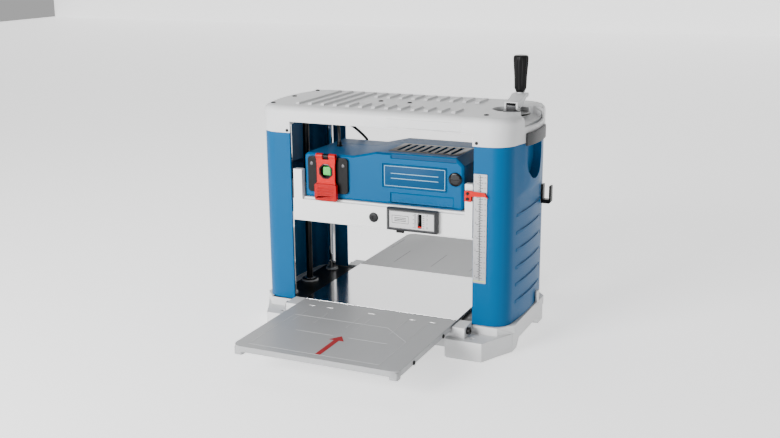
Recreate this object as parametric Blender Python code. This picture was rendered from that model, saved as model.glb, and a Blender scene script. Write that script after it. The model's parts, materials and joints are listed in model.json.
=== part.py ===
"""Benchtop thickness planer, 12.5 inch.

Metres, +Z up. The origin is on the bench, under the middle of the bed. The board is fed from the front
(-Y) to the back (+Y). The cutting head rides on four guide columns and hangs on two lead screws.
"""
import math

import bmesh
import bpy
from mathutils import Vector

for leftover in list(bpy.data.objects):
    bpy.data.objects.remove(leftover, do_unlink=True)

# ---------------------------------------------------------------- driving dimensions
GAP = 0.0003  # between pieces that touch
RUN = 0.0004  # radial running clearance of a turning or sliding fit
ROUND = 20  # flats on a round piece
SMALL_ROUND = 14  # flats on a small or hidden one

BED_HALF_WIDTH = 0.162
BED_HALF_DEPTH = 0.127
BED_TOP = 0.060
BED_SHEET = 0.0015
DECK_TOP = 0.053
DECK_THICKNESS = 0.010
FOOT_TOP = 0.037
BASE_HALF_WIDTH = 0.262
BASE_WALL = 0.017
FOOT_FRONT = 0.172
FOOT_HOLE_RADIUS = 0.004
FOOT_HOLE_X = 0.200
FOOT_HOLE_Y = 0.152

MAX_OPENING = 0.1524
CUT_RADIUS = 0.024
DRUM_RADIUS = 0.0225
DRUM_LENGTH = 0.319
ROLLER_RADIUS = 0.0165
ROLLER_REACH = 0.048
ROLLER_DROP = 0.0008
ROLLER_LIFT = 0.003
SHAFT_RADIUS = 0.006
FEED_SPROCKET_RADIUS = 0.013
BEARING_RADIUS = 0.016

TABLE_LENGTH = 0.2745
TABLE_JOINT_GAP = 0.0015
TABLE_SHEET = 0.0055
TABLE_SKIRT = 0.011
TABLE_RIM = 0.006
HINGE_SETBACK = 0.0165
HINGE_DROP = 0.0114
HINGE_BOLT_RADIUS = 0.004
LUG_WIDTH = 0.0245

OPENING_HALF_WIDTH = 0.189  # inner edges of the column covers
COVER_HALF_DEPTH = 0.122
COVER_SIDE = 0.2565
COVER_BOW = 0.0055
COVER_CORNER = 0.0345
COVER_WALL = 0.004
COVER_SWELL = 0.008
SWELL_LOW = 0.292
SWELL_HIGH = 0.304
RIB_COUNT = 6
RIB_FIRST = 0.0916
RIB_PITCH = 0.0335
RIB_HEIGHT = 0.006
RIB_PROUD = 0.0025
RIB_HALF_LENGTH = 0.075

CAP_TOP = 0.444
CAP_HALF_DEPTH = 0.125
CAP_SIDE = 0.2605
CAP_BOW = 0.0115
CAP_CORNER = 0.045
CAP_WALL = 0.004
CAP_ROOF = 0.0055
CAP_EDGE = 0.012
CAP_RIB_COUNT = 13
CAP_RIB_PITCH = 0.027
CAP_RIB_WIDTH = 0.008
CAP_RIB_HEIGHT = 0.004

COLUMN_RADIUS = 0.010
COLUMN_X = 0.214
COLUMN_Y = 0.090
SCREW_RADIUS = 0.0066
SCREW_X = 0.220
SCREW_BOTTOM = 0.012
SCREW_COLLAR = SCREW_RADIUS + 0.0114
NUT_SHANK = SCREW_RADIUS + 0.0018
NUT_FLANGE = NUT_SHANK + 0.0041
SPROCKET_RADIUS = 0.018
SPROCKET_LOW = 0.020
SPROCKET_THICK = 0.006
CHAIN_THICK = 0.003

DIAL_RADIUS = 0.035
DIAL_THICK = 0.003
CRANK_THROW = 0.050

BAR_HALF_WIDTH = 0.187
BAR_FRONT = 0.1195
BAR_THICK = 0.0135
BAR_LOW = 0.2185
BAR_TOP = 0.262
HEAD_DECK = 0.004
HEAD_WALL_IN = 0.1615
HEAD_WALL = 0.012
BEAM_LOW = 0.236
BEAM_IN = 0.198
BEAM_OUT = 0.236
BEAM_HALF_LENGTH = 0.108
ARM_IN = 0.075
UPRIGHT_TOP = 0.321
TOWER_RADIUS = COLUMN_RADIUS + 0.006
TOWER_TOP = 0.292

MOTOR_LEFT = -0.164
MOTOR_RIGHT = 0.166
MOTOR_FRONT = -0.111
MOTOR_SPLIT = 0.0
MOTOR_BACK = 0.055
MOTOR_TOP = 0.365
SWITCH_BOX_TOP = 0.354
MOTOR_WALL = 0.003
MOTOR_AXIS_Y = -0.030
MOTOR_AXIS_Z = 0.318
MOTOR_PULLEY_RADIUS = 0.010
CUTTER_PULLEY_RADIUS = 0.018
BELT_THICK = 0.0025

# sizes that follow from the ones above
COVER_TOP = CAP_TOP - 0.0523
CAP_BROW = CAP_TOP - 0.030  # lower edge of the cap over the opening
COLUMN_TOP = CAP_TOP - 0.016
DIAL_FLOOR = CAP_TOP - 0.0095
CRANK_PIN_Z = DIAL_FLOOR + 0.0145
GRIP_BASE_Z = CRANK_PIN_Z + 0.0185
GRIP_TOP_Z = GRIP_BASE_Z + 0.072
CUTTER_Z = BED_TOP + MAX_OPENING + CUT_RADIUS
ROLLER_Z = BED_TOP + MAX_OPENING - ROLLER_DROP + ROLLER_RADIUS
TABLE_BACK = BED_HALF_DEPTH + TABLE_JOINT_GAP
TABLE_FRONT = TABLE_BACK + TABLE_LENGTH
HINGE_Y = TABLE_BACK + HINGE_SETBACK
HINGE_Z = BED_TOP - HINGE_DROP
LUG_IN = BED_HALF_WIDTH + 0.002
LUG_OUT = LUG_IN + LUG_WIDTH
BED_BLOCK_FRONT = HINGE_Y - math.hypot(HINGE_SETBACK, HINGE_DROP) - 0.0024
WALL_OUT = HEAD_WALL_IN + HEAD_WALL
BELT_IN = WALL_OUT + 0.0015
BELT_OUT = BELT_IN + 0.011


# ---------------------------------------------------------------- finishes
def finish(name, colour, roughness, metallic=0.0):
    """A plain Principled finish."""
    material = bpy.data.materials.new(name)
    material.use_nodes = True
    shader = material.node_tree.nodes["Principled BSDF"]
    shader.inputs["Base Color"].default_value = (*colour, 1.0)
    shader.inputs["Roughness"].default_value = roughness
    shader.inputs["Metallic"].default_value = metallic
    return material


CAST_GREY = finish("cast_grey", (0.60, 0.60, 0.60), 0.5)
CAST_WHITE = finish("cast_white", (0.78, 0.78, 0.77), 0.45)
TABLE_GREY = finish("table_grey", (0.42, 0.42, 0.43), 0.5)
BLUE = finish("blue_plastic", (0.02, 0.16, 0.38), 0.4)
STAINLESS = finish("stainless", (0.75, 0.75, 0.76), 0.12, 1.0)
CHROME = finish("chrome", (0.80, 0.80, 0.82), 0.08, 1.0)
BLACK_STEEL = finish("black_steel", (0.03, 0.03, 0.03), 0.35, 0.8)
BARE_STEEL = finish("bare_steel", (0.55, 0.55, 0.56), 0.3, 1.0)
BRONZE = finish("bronze", (0.50, 0.33, 0.12), 0.4, 1.0)
COPPER = finish("copper", (0.72, 0.35, 0.18), 0.35, 1.0)
BLACK_PLASTIC = finish("black_plastic", (0.02, 0.02, 0.02), 0.45)
GREY_PLASTIC = finish("grey_plastic", (0.09, 0.09, 0.09), 0.5)
RUBBER = finish("rubber", (0.03, 0.03, 0.03), 0.8)
RED = finish("red_plastic", (0.75, 0.03, 0.03), 0.4)
GREEN = finish("green_plastic", (0.08, 0.55, 0.12), 0.4)
FACE = finish("gauge_face", (0.72, 0.72, 0.72), 0.5)
ALUMINIUM = finish("aluminium", (0.65, 0.65, 0.66), 0.4, 1.0)


# ---------------------------------------------------------------- outlines
def arc(centre, radius, start, end, steps):
    """Points on an arc, both ends included, angles in degrees."""
    points = []
    for i in range(steps + 1):
        angle = math.radians(start + (end - start) * i / steps)
        points.append((centre[0] + radius * math.cos(angle), centre[1] + radius * math.sin(angle)))
    return points


def rounded(low, high, radius, steps=4):
    """A rectangle with round corners, anticlockwise."""
    points = []
    corners = ((high[0] - radius, low[1] + radius, -90), (high[0] - radius, high[1] - radius, 0),
               (low[0] + radius, high[1] - radius, 90), (low[0] + radius, low[1] + radius, 180))
    for a, b, start in corners:
        points += arc((a, b), radius, start, start + 90, steps)
    return points


def loop_round(first, first_radius, second, second_radius, steps=12):
    """The outline of a belt drawn round two circles."""
    across = Vector(second) - Vector(first)
    heading = math.degrees(math.atan2(across.y, across.x))
    lean = math.degrees(math.acos((first_radius - second_radius) / across.length))
    far_side = arc(first, first_radius, heading + lean, heading + 360 - lean, steps)
    return far_side + arc(second, second_radius, heading - lean, heading + lean, steps)


def bowed_end(inner, half_depth, side, bow, corner, inset=0.0):
    """Half of a plan with a bowed end: along the front, round the corner, along the bowed side and back."""
    depth = half_depth - inset
    reach = side - inset
    turn = corner - inset
    points = [(inner, -depth)]
    points += arc((reach - turn, -depth + turn), turn, -90, 0, 5)[:-1]
    stretch = depth - turn
    for i in range(7):
        along = -1 + 2 * i / 6
        points.append((reach + bow * (1 - along ** 2), along * stretch))
    points += arc((reach - turn, depth - turn), turn, 0, 90, 5)[1:]
    points.append((inner, depth))
    return points


def steps_between(low, high, count):
    """Evenly spaced values, both ends included."""
    return [low + (high - low) * i / count for i in range(count + 1)]


def mirrored(points):
    """The same outline on the other side of X = 0, in reverse order."""
    return [(-a, b) for a, b in reversed(points)]


# ---------------------------------------------------------------- solids
def at(axis, a, b, along):
    """A point of an outline that stands across an axis."""
    return {"X": (along, a, b), "Y": (a, along, b), "Z": (a, b, along)}[axis]


def link(name, mesh, material):
    """Put a mesh in the scene as a named object, smooth apart from its real edges."""
    obj = bpy.data.objects.new(name, mesh)
    bpy.context.collection.objects.link(obj)
    mesh.materials.clear()
    mesh.materials.append(material)
    mesh.shade_smooth()
    mesh.set_sharp_from_angle(angle=math.radians(32))
    return obj


def as_mesh(name, shape):
    """Close the bmesh, faces outwards, and hand it over as a mesh."""
    bmesh.ops.recalc_face_normals(shape, faces=shape.faces[:])
    mesh = bpy.data.meshes.new(name)
    shape.to_mesh(mesh)
    shape.free()
    return mesh


def prism(axis, outline, low, high, hole=None):
    """An outline pulled straight along an axis, with a hole of as many points if one is given."""
    shape = bmesh.new()
    ring = [shape.verts.new(at(axis, a, b, low)) for a, b in outline]
    if hole:
        inner = [shape.verts.new(at(axis, a, b, low)) for a, b in hole]
        for i in range(len(ring)):
            j = (i + 1) % len(ring)
            shape.faces.new((ring[i], ring[j], inner[j], inner[i]))
    else:
        shape.faces.new(ring)
    pulled = bmesh.ops.extrude_face_region(shape, geom=shape.faces[:])
    moved = [item for item in pulled["geom"] if isinstance(item, bmesh.types.BMVert)]
    bmesh.ops.translate(shape, verts=moved, vec=at(axis, 0, 0, high - low))
    return as_mesh("prism", shape)


def block(low, high, radius=0.0, axis="Z"):
    """A box between two corners, its edges along one axis rounded."""
    pick = {"X": (1, 2, 0), "Y": (0, 2, 1), "Z": (0, 1, 2)}[axis]
    a, b, along = pick
    if radius:
        outline = rounded((low[a], low[b]), (high[a], high[b]), radius)
    else:
        outline = [(low[a], low[b]), (high[a], low[b]), (high[a], high[b]), (low[a], high[b])]
    return prism(axis, outline, low[along], high[along])


def turned(axis, centre, profile, segments=ROUND, bored=False):
    """A profile of (radius, place along the axis) turned round the axis, closed on itself if it is bored."""
    shape = bmesh.new()
    a, b = centre
    spots = [shape.verts.new(at(axis, a + radius, b, along)) for radius, along in profile]
    edges = [shape.edges.new(pair) for pair in zip(spots, spots[1:])]
    if bored:
        edges.append(shape.edges.new((spots[-1], spots[0])))
    bmesh.ops.spin(shape, geom=spots + edges, cent=at(axis, a, b, 0), axis=at(axis, 0, 0, 1),
                   angle=2 * math.pi, steps=segments, use_merge=True)
    bmesh.ops.remove_doubles(shape, verts=shape.verts[:], dist=1e-6)
    return as_mesh("turned", shape)


def rod(axis, centre, radius, low, high, segments=ROUND):
    """A plain round bar."""
    return turned(axis, centre, [(0, low), (radius, low), (radius, high), (0, high)], segments)


def ring(axis, centre, bore, radius, low, high, segments=ROUND):
    """A plain round tube or washer."""
    profile = [(bore, low), (radius, low), (radius, high), (bore, high)]
    return turned(axis, centre, profile, segments, bored=True)


def lofted(rings):
    """A closed body through plan rings, each a list of points and its height."""
    shape = bmesh.new()
    loops = [[shape.verts.new((a, b, height)) for a, b in outline] for outline, height in rings]
    shape.faces.new(loops[0])
    shape.faces.new(loops[-1])
    for lower, upper in zip(loops, loops[1:]):
        for i in range(len(lower)):
            j = (i + 1) % len(lower)
            shape.faces.new((lower[i], lower[j], upper[j], upper[i]))
    return as_mesh("lofted", shape)


def combined(name, material, body, *steps):
    """One solid: a body, then steps that each join on or cut away some meshes."""
    obj = link(name, body, material)
    for operation, meshes in steps:
        for mesh in meshes:
            tool = link("tool", mesh, material)
            boolean = obj.modifiers.new("boolean", "BOOLEAN")
            boolean.operation = operation
            boolean.solver = "MANIFOLD"
            boolean.object = tool
            bpy.context.view_layer.update()
            shaped = bpy.data.meshes.new_from_object(obj.evaluated_get(bpy.context.evaluated_depsgraph_get()))
            obj.modifiers.clear()
            obj.data = shaped
            bpy.data.objects.remove(tool, do_unlink=True)
    obj.data.name = name
    obj.data.materials.clear()
    obj.data.materials.append(material)
    obj.data.shade_smooth()
    obj.data.set_sharp_from_angle(angle=math.radians(32))
    return obj


def joint(name, place, parent=None):
    """An empty on a joint's axis. What it moves is its child."""
    empty = bpy.data.objects.new(name, None)
    bpy.context.collection.objects.link(empty)
    empty.empty_display_size = 0.02
    empty.location = place
    bpy.context.view_layer.update()
    if parent:
        attach(parent, empty)
    return empty


def attach(empty, *pieces):
    """Hang pieces on a joint without moving them."""
    bpy.context.view_layer.update()
    for piece in pieces:
        piece.parent = empty
        piece.matrix_parent_inverse = empty.matrix_world.inverted()
    bpy.context.view_layer.update()


SIDES = (("left", -1), ("right", 1))
ENDS = (("front", -1), ("rear", 1))


def span(side, near, far):
    """Two X values on one side of the machine, the lower one first."""
    return (near, far) if side > 0 else (-far, -near)


# ---------------------------------------------------------------- base casting and bed
def foot_quarter():
    """The plan of the front right quarter of the base: the recess at the bed, then the foot."""
    inner = LUG_IN + 0.0005
    return [
        (inner, -BED_BLOCK_FRONT), (inner, -0.150), (inner - 0.0125, -0.154),
        (inner - 0.0125, -FOOT_FRONT + 0.005), (inner - 0.0075, -FOOT_FRONT), (0.226, -FOOT_FRONT),
        (0.243, -0.135), (BASE_HALF_WIDTH, -0.099),
    ]


def base_plan():
    quarter = foot_quarter()
    right = quarter + [(a, -b) for a, b in reversed(quarter)]
    return right + [(-a, -b) for a, b in right]


CHAMFER = 0.022
collar_plan = [
    (BASE_HALF_WIDTH - CHAMFER, -COVER_HALF_DEPTH - 0.003), (BASE_HALF_WIDTH + 0.003, -0.095),
    (BASE_HALF_WIDTH + 0.003, 0.095), (BASE_HALF_WIDTH - CHAMFER, COVER_HALF_DEPTH + 0.003),
]
collar_plan += [(-a, -b) for a, b in collar_plan]
added = [
    prism("Z", collar_plan, FOOT_TOP - 0.002, DECK_TOP),
    block((-BED_HALF_WIDTH + 0.002, -BED_BLOCK_FRONT, DECK_TOP - 0.002),
          (BED_HALF_WIDTH - 0.002, BED_BLOCK_FRONT, BED_TOP - BED_SHEET - GAP)),
]
removed = [
    block((-BASE_HALF_WIDTH + BASE_WALL, -BED_BLOCK_FRONT + 0.010, -0.01),
          (BASE_HALF_WIDTH - BASE_WALL, BED_BLOCK_FRONT - 0.010, DECK_TOP - DECK_THICKNESS)),
]
ARCH_HALF = 0.070
ARCH_HEIGHT = 0.016
TAB_FRONT = 0.044
TAB_BACK = 0.062
TAB_TOP = 0.076
arch = [(-ARCH_HALF, -0.01), (ARCH_HALF, -0.01), (ARCH_HALF, 0.002), (ARCH_HALF - 0.014, ARCH_HEIGHT),
        (-ARCH_HALF + 0.014, ARCH_HEIGHT), (-ARCH_HALF, 0.002)]
removed.append(prism("X", arch, -BASE_HALF_WIDTH - 0.02, BASE_HALF_WIDTH + 0.02))
for _, side in SIDES:
    low_x, high_x = span(side, LUG_IN, LUG_OUT)
    added.append(turned("Z", (side * SCREW_X, 0), [
        (0, DECK_TOP - 0.003), (SCREW_COLLAR, DECK_TOP - 0.003), (SCREW_COLLAR, DECK_TOP + 0.0035),
        (SCREW_COLLAR - 0.003, DECK_TOP + 0.0055), (0, DECK_TOP + 0.0055)], 18))
    removed.append(rod("Z", (side * SCREW_X, 0), SCREW_RADIUS + RUN, 0.02, DECK_TOP + 0.02))
    tab_x = span(side, COVER_SIDE + COVER_BOW + GAP, BASE_HALF_WIDTH + 0.0035)
    added.append(block((tab_x[0], TAB_FRONT, DECK_TOP - 0.004), (tab_x[1], TAB_BACK, TAB_TOP)))
    for _, end in ENDS:
        low_y, high_y = sorted((end * (HINGE_Y + 0.015), end * (BED_BLOCK_FRONT - 0.004)))
        added.append(block((low_x, low_y, FOOT_TOP - 0.002), (high_x, high_y, BED_TOP - 0.0025)))
        added.append(rod("Z", (side * COLUMN_X, end * COLUMN_Y), COLUMN_RADIUS + 0.0035, DECK_TOP - 0.003, DECK_TOP + 0.004))
        removed.append(rod("Z", (side * COLUMN_X, end * COLUMN_Y), COLUMN_RADIUS + RUN, 0.02, DECK_TOP + 0.02))
        removed.append(rod("Z", (side * FOOT_HOLE_X, end * FOOT_HOLE_Y), FOOT_HOLE_RADIUS, -0.01, FOOT_TOP + 0.01, 16))
        removed.append(rod("X", (end * HINGE_Y, HINGE_Z), HINGE_BOLT_RADIUS + RUN,
                           low_x - 0.002, high_x + 0.002, 16))
base_casting = combined("base_casting", CAST_GREY, prism("Z", base_plan(), 0, FOOT_TOP),
                        ("UNION", added), ("DIFFERENCE", removed))

bed_plate = link("bed_plate", block((-BED_HALF_WIDTH, -BED_HALF_DEPTH, BED_TOP - BED_SHEET),
                                    (BED_HALF_WIDTH, BED_HALF_DEPTH, BED_TOP), 0.002), STAINLESS)


# ---------------------------------------------------------------- guide columns and column covers
for side_name, side in SIDES:
    for end_name, end in ENDS:
        link(f"guide_column_{end_name}_{side_name}",
             rod("Z", (side * COLUMN_X, end * COLUMN_Y), COLUMN_RADIUS,
                 DECK_TOP - DECK_THICKNESS + GAP, COLUMN_TOP), CHROME)


def cover_plan(swell):
    """The C of a column cover: the outer skin and, back inside it, the inner skin."""
    outer = bowed_end(OPENING_HALF_WIDTH, COVER_HALF_DEPTH, COVER_SIDE, COVER_BOW + swell, COVER_CORNER)
    inner = bowed_end(OPENING_HALF_WIDTH, COVER_HALF_DEPTH, COVER_SIDE, COVER_BOW + swell, COVER_CORNER,
                      COVER_WALL)
    return outer + inner[::-1]


def cover_face(y, swell=0.0):
    """How far out the bowed side of a cover stands at a place along its depth."""
    return COVER_SIDE + (COVER_BOW + swell) * (1 - (y / (COVER_HALF_DEPTH - COVER_CORNER)) ** 2)


def side_rib(height):
    """A rounded bar that follows the bowed side of a cover."""
    stations = steps_between(-RIB_HALF_LENGTH, RIB_HALF_LENGTH, 6)
    outer = [(cover_face(y) + RIB_PROUD * (1 - (y / RIB_HALF_LENGTH) ** 8), y) for y in stations]
    inner = [(cover_face(y) - COVER_WALL / 2, y) for y in stations]
    return prism("Z", outer + inner[::-1], height - RIB_HEIGHT / 2, height + RIB_HEIGHT / 2)


def flipped(mesh):
    """The same mesh on the left side of the machine."""
    shape = bmesh.new()
    shape.from_mesh(mesh)
    bmesh.ops.scale(shape, verts=shape.verts[:], vec=(-1, 1, 1))
    bmesh.ops.reverse_faces(shape, faces=shape.faces[:])
    return as_mesh("flipped", shape)


SCOOP_HALF = 0.045
SCOOP_RIM = SCOOP_HALF + 0.005
SCOOP_LOW = COVER_TOP - 0.0757
SCOOP_BACK = 0.2505
for side_name, side in SIDES:
    plans = [(cover_plan(0), DECK_TOP + GAP), (cover_plan(0), SWELL_LOW),
             (cover_plan(COVER_SWELL), SWELL_HIGH), (cover_plan(COVER_SWELL), COVER_TOP)]
    cup_plan = [(cover_face(y, COVER_SWELL) - 0.002, y) for y in steps_between(-SCOOP_RIM, SCOOP_RIM, 6)]
    cup_plan += [(SCOOP_BACK - COVER_WALL, SCOOP_RIM), (SCOOP_BACK - COVER_WALL, -SCOOP_RIM)]
    cup = prism("Z", cup_plan, SCOOP_LOW - 0.006, COVER_TOP)
    scoop_plan = arc((0, SCOOP_LOW + SCOOP_HALF), SCOOP_HALF, 180, 360, 10)
    scoop_plan += [(SCOOP_HALF, COVER_TOP + 0.01), (-SCOOP_HALF, COVER_TOP + 0.01)]
    scoop = prism("X", scoop_plan, SCOOP_BACK, COVER_SIDE + 0.03)
    ribs = [side_rib(RIB_FIRST + i * RIB_PITCH) for i in range(RIB_COUNT)]
    meshes = [lofted(plans), cup, scoop, *ribs]
    if side < 0:
        meshes = [flipped(mesh) for mesh in meshes]
    combined(f"column_cover_{side_name}", BLUE, meshes[0],
             ("UNION", [meshes[1], *meshes[3:]]), ("DIFFERENCE", [meshes[2]]))

HOOK_Y = 0.085
hook_in = cover_face(HOOK_Y - 0.007) + GAP
hook = [(hook_in, 0.248), (hook_in + 0.017, 0.248), (hook_in + 0.020, 0.252), (hook_in + 0.020, 0.284),
        (hook_in + 0.016, 0.284), (hook_in + 0.016, 0.256), (hook_in + 0.004, 0.256), (hook_in + 0.004, 0.286),
        (hook_in, 0.286)]
link("cord_hook", prism("Y", hook, HOOK_Y - 0.007, HOOK_Y + 0.007), BLACK_PLASTIC)


# ---------------------------------------------------------------- top cap, carry handles, scale
def cap_plan(inset):
    half = bowed_end(0.05, CAP_HALF_DEPTH, CAP_SIDE, CAP_BOW, CAP_CORNER, inset)
    return half + mirrored(half)


def cap_edge():
    """The round top edge of the cap: how far in and how high at each step."""
    steps = []
    for angle in (0, 30, 60, 90):
        turn = math.radians(angle)
        steps.append((CAP_EDGE * (1 - math.cos(turn)), CAP_TOP - CAP_EDGE * (1 - math.sin(turn))))
    return steps


cap_body = lofted([(cap_plan(0), COVER_TOP + GAP)] + [(cap_plan(inset), height) for inset, height in cap_edge()])
CAVITY_TOP = CAP_TOP - CAP_ROOF
hollows = [
    lofted([(cap_plan(CAP_WALL), COVER_TOP - 0.01), (cap_plan(CAP_WALL), CAVITY_TOP - 0.008),
            (cap_plan(CAP_WALL + 0.006), CAVITY_TOP)]),
    block((-OPENING_HALF_WIDTH + 0.002, -0.2, COVER_TOP - 0.01), (OPENING_HALF_WIDTH - 0.002, 0.2, CAP_BROW)),
]
THUMB_IN = SCREW_X + 0.0255
THUMB_FRONT = -0.062
THUMB_BACK = 0.052
joined = [
    rod("Z", (SCREW_X, 0), DIAL_RADIUS + 0.009, DIAL_FLOOR - CAP_ROOF, CAVITY_TOP + 0.001),
    block((THUMB_IN - 0.005, THUMB_FRONT - 0.008, DIAL_FLOOR - 0.022),
          (CAP_SIDE + 0.001, THUMB_BACK + 0.008, CAVITY_TOP + 0.0018)),
]
for i in range(CAP_RIB_COUNT):
    x = (i - (CAP_RIB_COUNT - 1) / 2) * CAP_RIB_PITCH - 0.024
    stretches = ((-0.095, 0.095),) if i < 4 else ((-0.095, -0.045), (0.035, 0.095))
    for front, back in stretches:
        rib = [(front, CAP_TOP - 0.001), (back, CAP_TOP - 0.001), (back - 0.004, CAP_TOP + CAP_RIB_HEIGHT),
               (front + 0.004, CAP_TOP + CAP_RIB_HEIGHT)]
        joined.append(prism("X", rib, x - CAP_RIB_WIDTH / 2, x + CAP_RIB_WIDTH / 2))
bores = [
    rod("Z", (SCREW_X, 0), SCREW_RADIUS + RUN, COVER_TOP - 0.02, CAP_TOP + 0.02),
    rod("Z", (-SCREW_X, 0), SCREW_RADIUS + RUN, COVER_TOP - 0.02, CAP_TOP - 0.0138),
    rod("Z", (SCREW_X, 0), DIAL_RADIUS + 0.0015, DIAL_FLOOR, CAP_TOP + 0.02),
]
for _, side in SIDES:
    boss_top = DIAL_FLOOR - 0.003 if side > 0 else CAVITY_TOP + 0.001
    joined.append(rod("Z", (side * SCREW_X, 0), 2 * SCREW_RADIUS, CAP_TOP - 0.032, boss_top, SMALL_ROUND))
    for _, end in ENDS:
        joined.append(rod("Z", (side * COLUMN_X, end * COLUMN_Y), COLUMN_RADIUS + 0.005, CAP_TOP - 0.040,
                          CAVITY_TOP + 0.001))
        bores.append(rod("Z", (side * COLUMN_X, end * COLUMN_Y), COLUMN_RADIUS + RUN, COVER_TOP - 0.02,
                         COLUMN_TOP + GAP))
thumb_scoop = [(THUMB_IN, CAP_TOP + 0.02), (THUMB_IN, DIAL_FLOOR - 0.003), (THUMB_IN + 0.008, DIAL_FLOOR - 0.008),
               (THUMB_IN + 0.018, DIAL_FLOOR - 0.0125), (THUMB_IN + 0.030, DIAL_FLOOR - 0.0165),
               (THUMB_IN + 0.050, DIAL_FLOOR - 0.0185), (THUMB_IN + 0.050, CAP_TOP + 0.02)]
bores.append(prism("Y", thumb_scoop, THUMB_FRONT, THUMB_BACK))
top_cap = combined("top_cap", CAST_GREY, cap_body, ("DIFFERENCE", hollows), ("UNION", joined),
                   ("DIFFERENCE", bores))

HANDLE_LOW = COVER_TOP - 0.0047
HANDLE_HIGH = HANDLE_LOW + 0.023
HANDLE_HALF = 0.058
HANDLE_THICK = 0.006
for side_name, side in SIDES:
    near = []
    far = []
    for i in range(9):
        along = -1 + 2 * i / 8
        y = along * HANDLE_HALF
        face = CAP_SIDE + CAP_BOW * (1 - (y / (CAP_HALF_DEPTH - CAP_CORNER)) ** 2)
        near.append((face + GAP, y))
        far.append((face + GAP + HANDLE_THICK * (1 - 0.4 * along ** 8), y))
    bar = prism("Z", far + near[::-1], HANDLE_LOW, HANDLE_HIGH)
    link(f"carry_handle_{side_name}", bar if side > 0 else flipped(bar), GREY_PLASTIC)

SCALE_LEFT = 0.190
SCALE_RIGHT = 0.2155
SCALE_LOW = 0.136
SCALE_HIGH = 0.342
SCALE_FRONT = -COVER_HALF_DEPTH - GAP
link("depth_scale", block((SCALE_LEFT, SCALE_FRONT - 0.0008, SCALE_LOW),
                          (SCALE_RIGHT, SCALE_FRONT, SCALE_HIGH), 0.001, "Y"), ALUMINIUM)


# ---------------------------------------------------------------- lift: two lead screws, sprockets and chain
SCREW_TOPS = {"left": CAP_TOP - 0.014, "right": DIAL_FLOOR + GAP + DIAL_THICK + GAP + 0.0018}
screw_parts = {}
for side_name, side in SIDES:
    top = SCREW_TOPS[side_name]
    stem = [(0, SCREW_BOTTOM), (SCREW_RADIUS - 0.001, SCREW_BOTTOM), (SCREW_RADIUS, SCREW_BOTTOM + 0.001),
            (SCREW_RADIUS, top - 0.001), (SCREW_RADIUS - 0.001, top), (0, top)]
    screw = link(f"lead_screw_{side_name}", turned("Z", (side * SCREW_X, 0), stem), BLACK_STEEL)
    low = SPROCKET_LOW
    wheel = [(SCREW_RADIUS + GAP, low), (SPROCKET_RADIUS, low), (SPROCKET_RADIUS, low + SPROCKET_THICK),
             (0.011, low + SPROCKET_THICK), (0.011, low + 0.012), (SCREW_RADIUS + GAP, low + 0.012)]
    sprocket = link(f"sprocket_{side_name}", turned("Z", (side * SCREW_X, 0), wheel, bored=True), BLACK_STEEL)
    screw_parts[side_name] = [screw, sprocket]
chain_in = loop_round((-SCREW_X, 0), SPROCKET_RADIUS + GAP, (SCREW_X, 0), SPROCKET_RADIUS + GAP)
chain_out = loop_round((-SCREW_X, 0), SPROCKET_RADIUS + GAP + CHAIN_THICK,
                       (SCREW_X, 0), SPROCKET_RADIUS + GAP + CHAIN_THICK)
link("lift_chain", prism("Z", chain_out, SPROCKET_LOW + 0.0005, SPROCKET_LOW + SPROCKET_THICK - 0.0005, chain_in),
     BLACK_STEEL)

# the crank: index dial, hub on the right lead screw, folding arm on a cross pin, grip on its bolt
dial_low = DIAL_FLOOR + GAP
dial_high = dial_low + DIAL_THICK
index_dial = link("index_dial", turned("Z", (SCREW_X, 0), [
    (SCREW_RADIUS + GAP, dial_low), (DIAL_RADIUS, dial_low), (DIAL_RADIUS, dial_high - 0.001),
    (DIAL_RADIUS - 0.001, dial_high), (SCREW_RADIUS + GAP, dial_high)], bored=True), BLACK_PLASTIC)
HUB_LOW = dial_high + GAP
HUB_COLLAR = HUB_LOW + 0.003
HUB_HALF = 0.0090
PIN_RADIUS = 0.0025
TONGUE = 0.0060
crank_hub = combined(
    "crank_hub", BLACK_STEEL, rod("Z", (SCREW_X, 0), 0.0165, HUB_LOW, HUB_COLLAR),
    ("UNION", [prism("X", [(-TONGUE, HUB_COLLAR - 0.0006), (TONGUE, HUB_COLLAR - 0.0006)]
                     + arc((0, CRANK_PIN_Z), TONGUE, 0, 180, 8), SCREW_X - HUB_HALF, SCREW_X + HUB_HALF)]),
    ("DIFFERENCE", [rod("Z", (SCREW_X, 0), SCREW_RADIUS + GAP, HUB_LOW - 0.01, SCREW_TOPS["right"] + GAP),
                    rod("X", (0, CRANK_PIN_Z), PIN_RADIUS + GAP, SCREW_X - 0.02, SCREW_X + 0.02, 12)]))
CHEEK_IN = HUB_HALF + RUN
CHEEK_OUT = CHEEK_IN + 0.004
crank_pin = link("crank_pin", rod("X", (0, CRANK_PIN_Z), PIN_RADIUS, SCREW_X - CHEEK_OUT - 0.0012,
                                  SCREW_X + CHEEK_OUT + 0.0012, 12), BARE_STEEL)
ARM_RADIUS = 0.0070
arm_side = arc((0, CRANK_PIN_Z), ARM_RADIUS, 180, 300, 8)
arm_side += [(0.026, CRANK_PIN_Z - 0.001), (CRANK_THROW - 0.004, GRIP_BASE_Z - 0.0085),
             (CRANK_THROW + 0.010, GRIP_BASE_Z - 0.0075), (CRANK_THROW + 0.0125, GRIP_BASE_Z - 0.0040),
             (CRANK_THROW + 0.0115, GRIP_BASE_Z - GAP), (CRANK_THROW - 0.012, GRIP_BASE_Z - GAP),
             (0.024, CRANK_PIN_Z + 0.0125), (0.006, CRANK_PIN_Z + 0.0098), (-0.0068, CRANK_PIN_Z + 0.0088)]
GRIP_BOLT_RADIUS = 0.004
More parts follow.
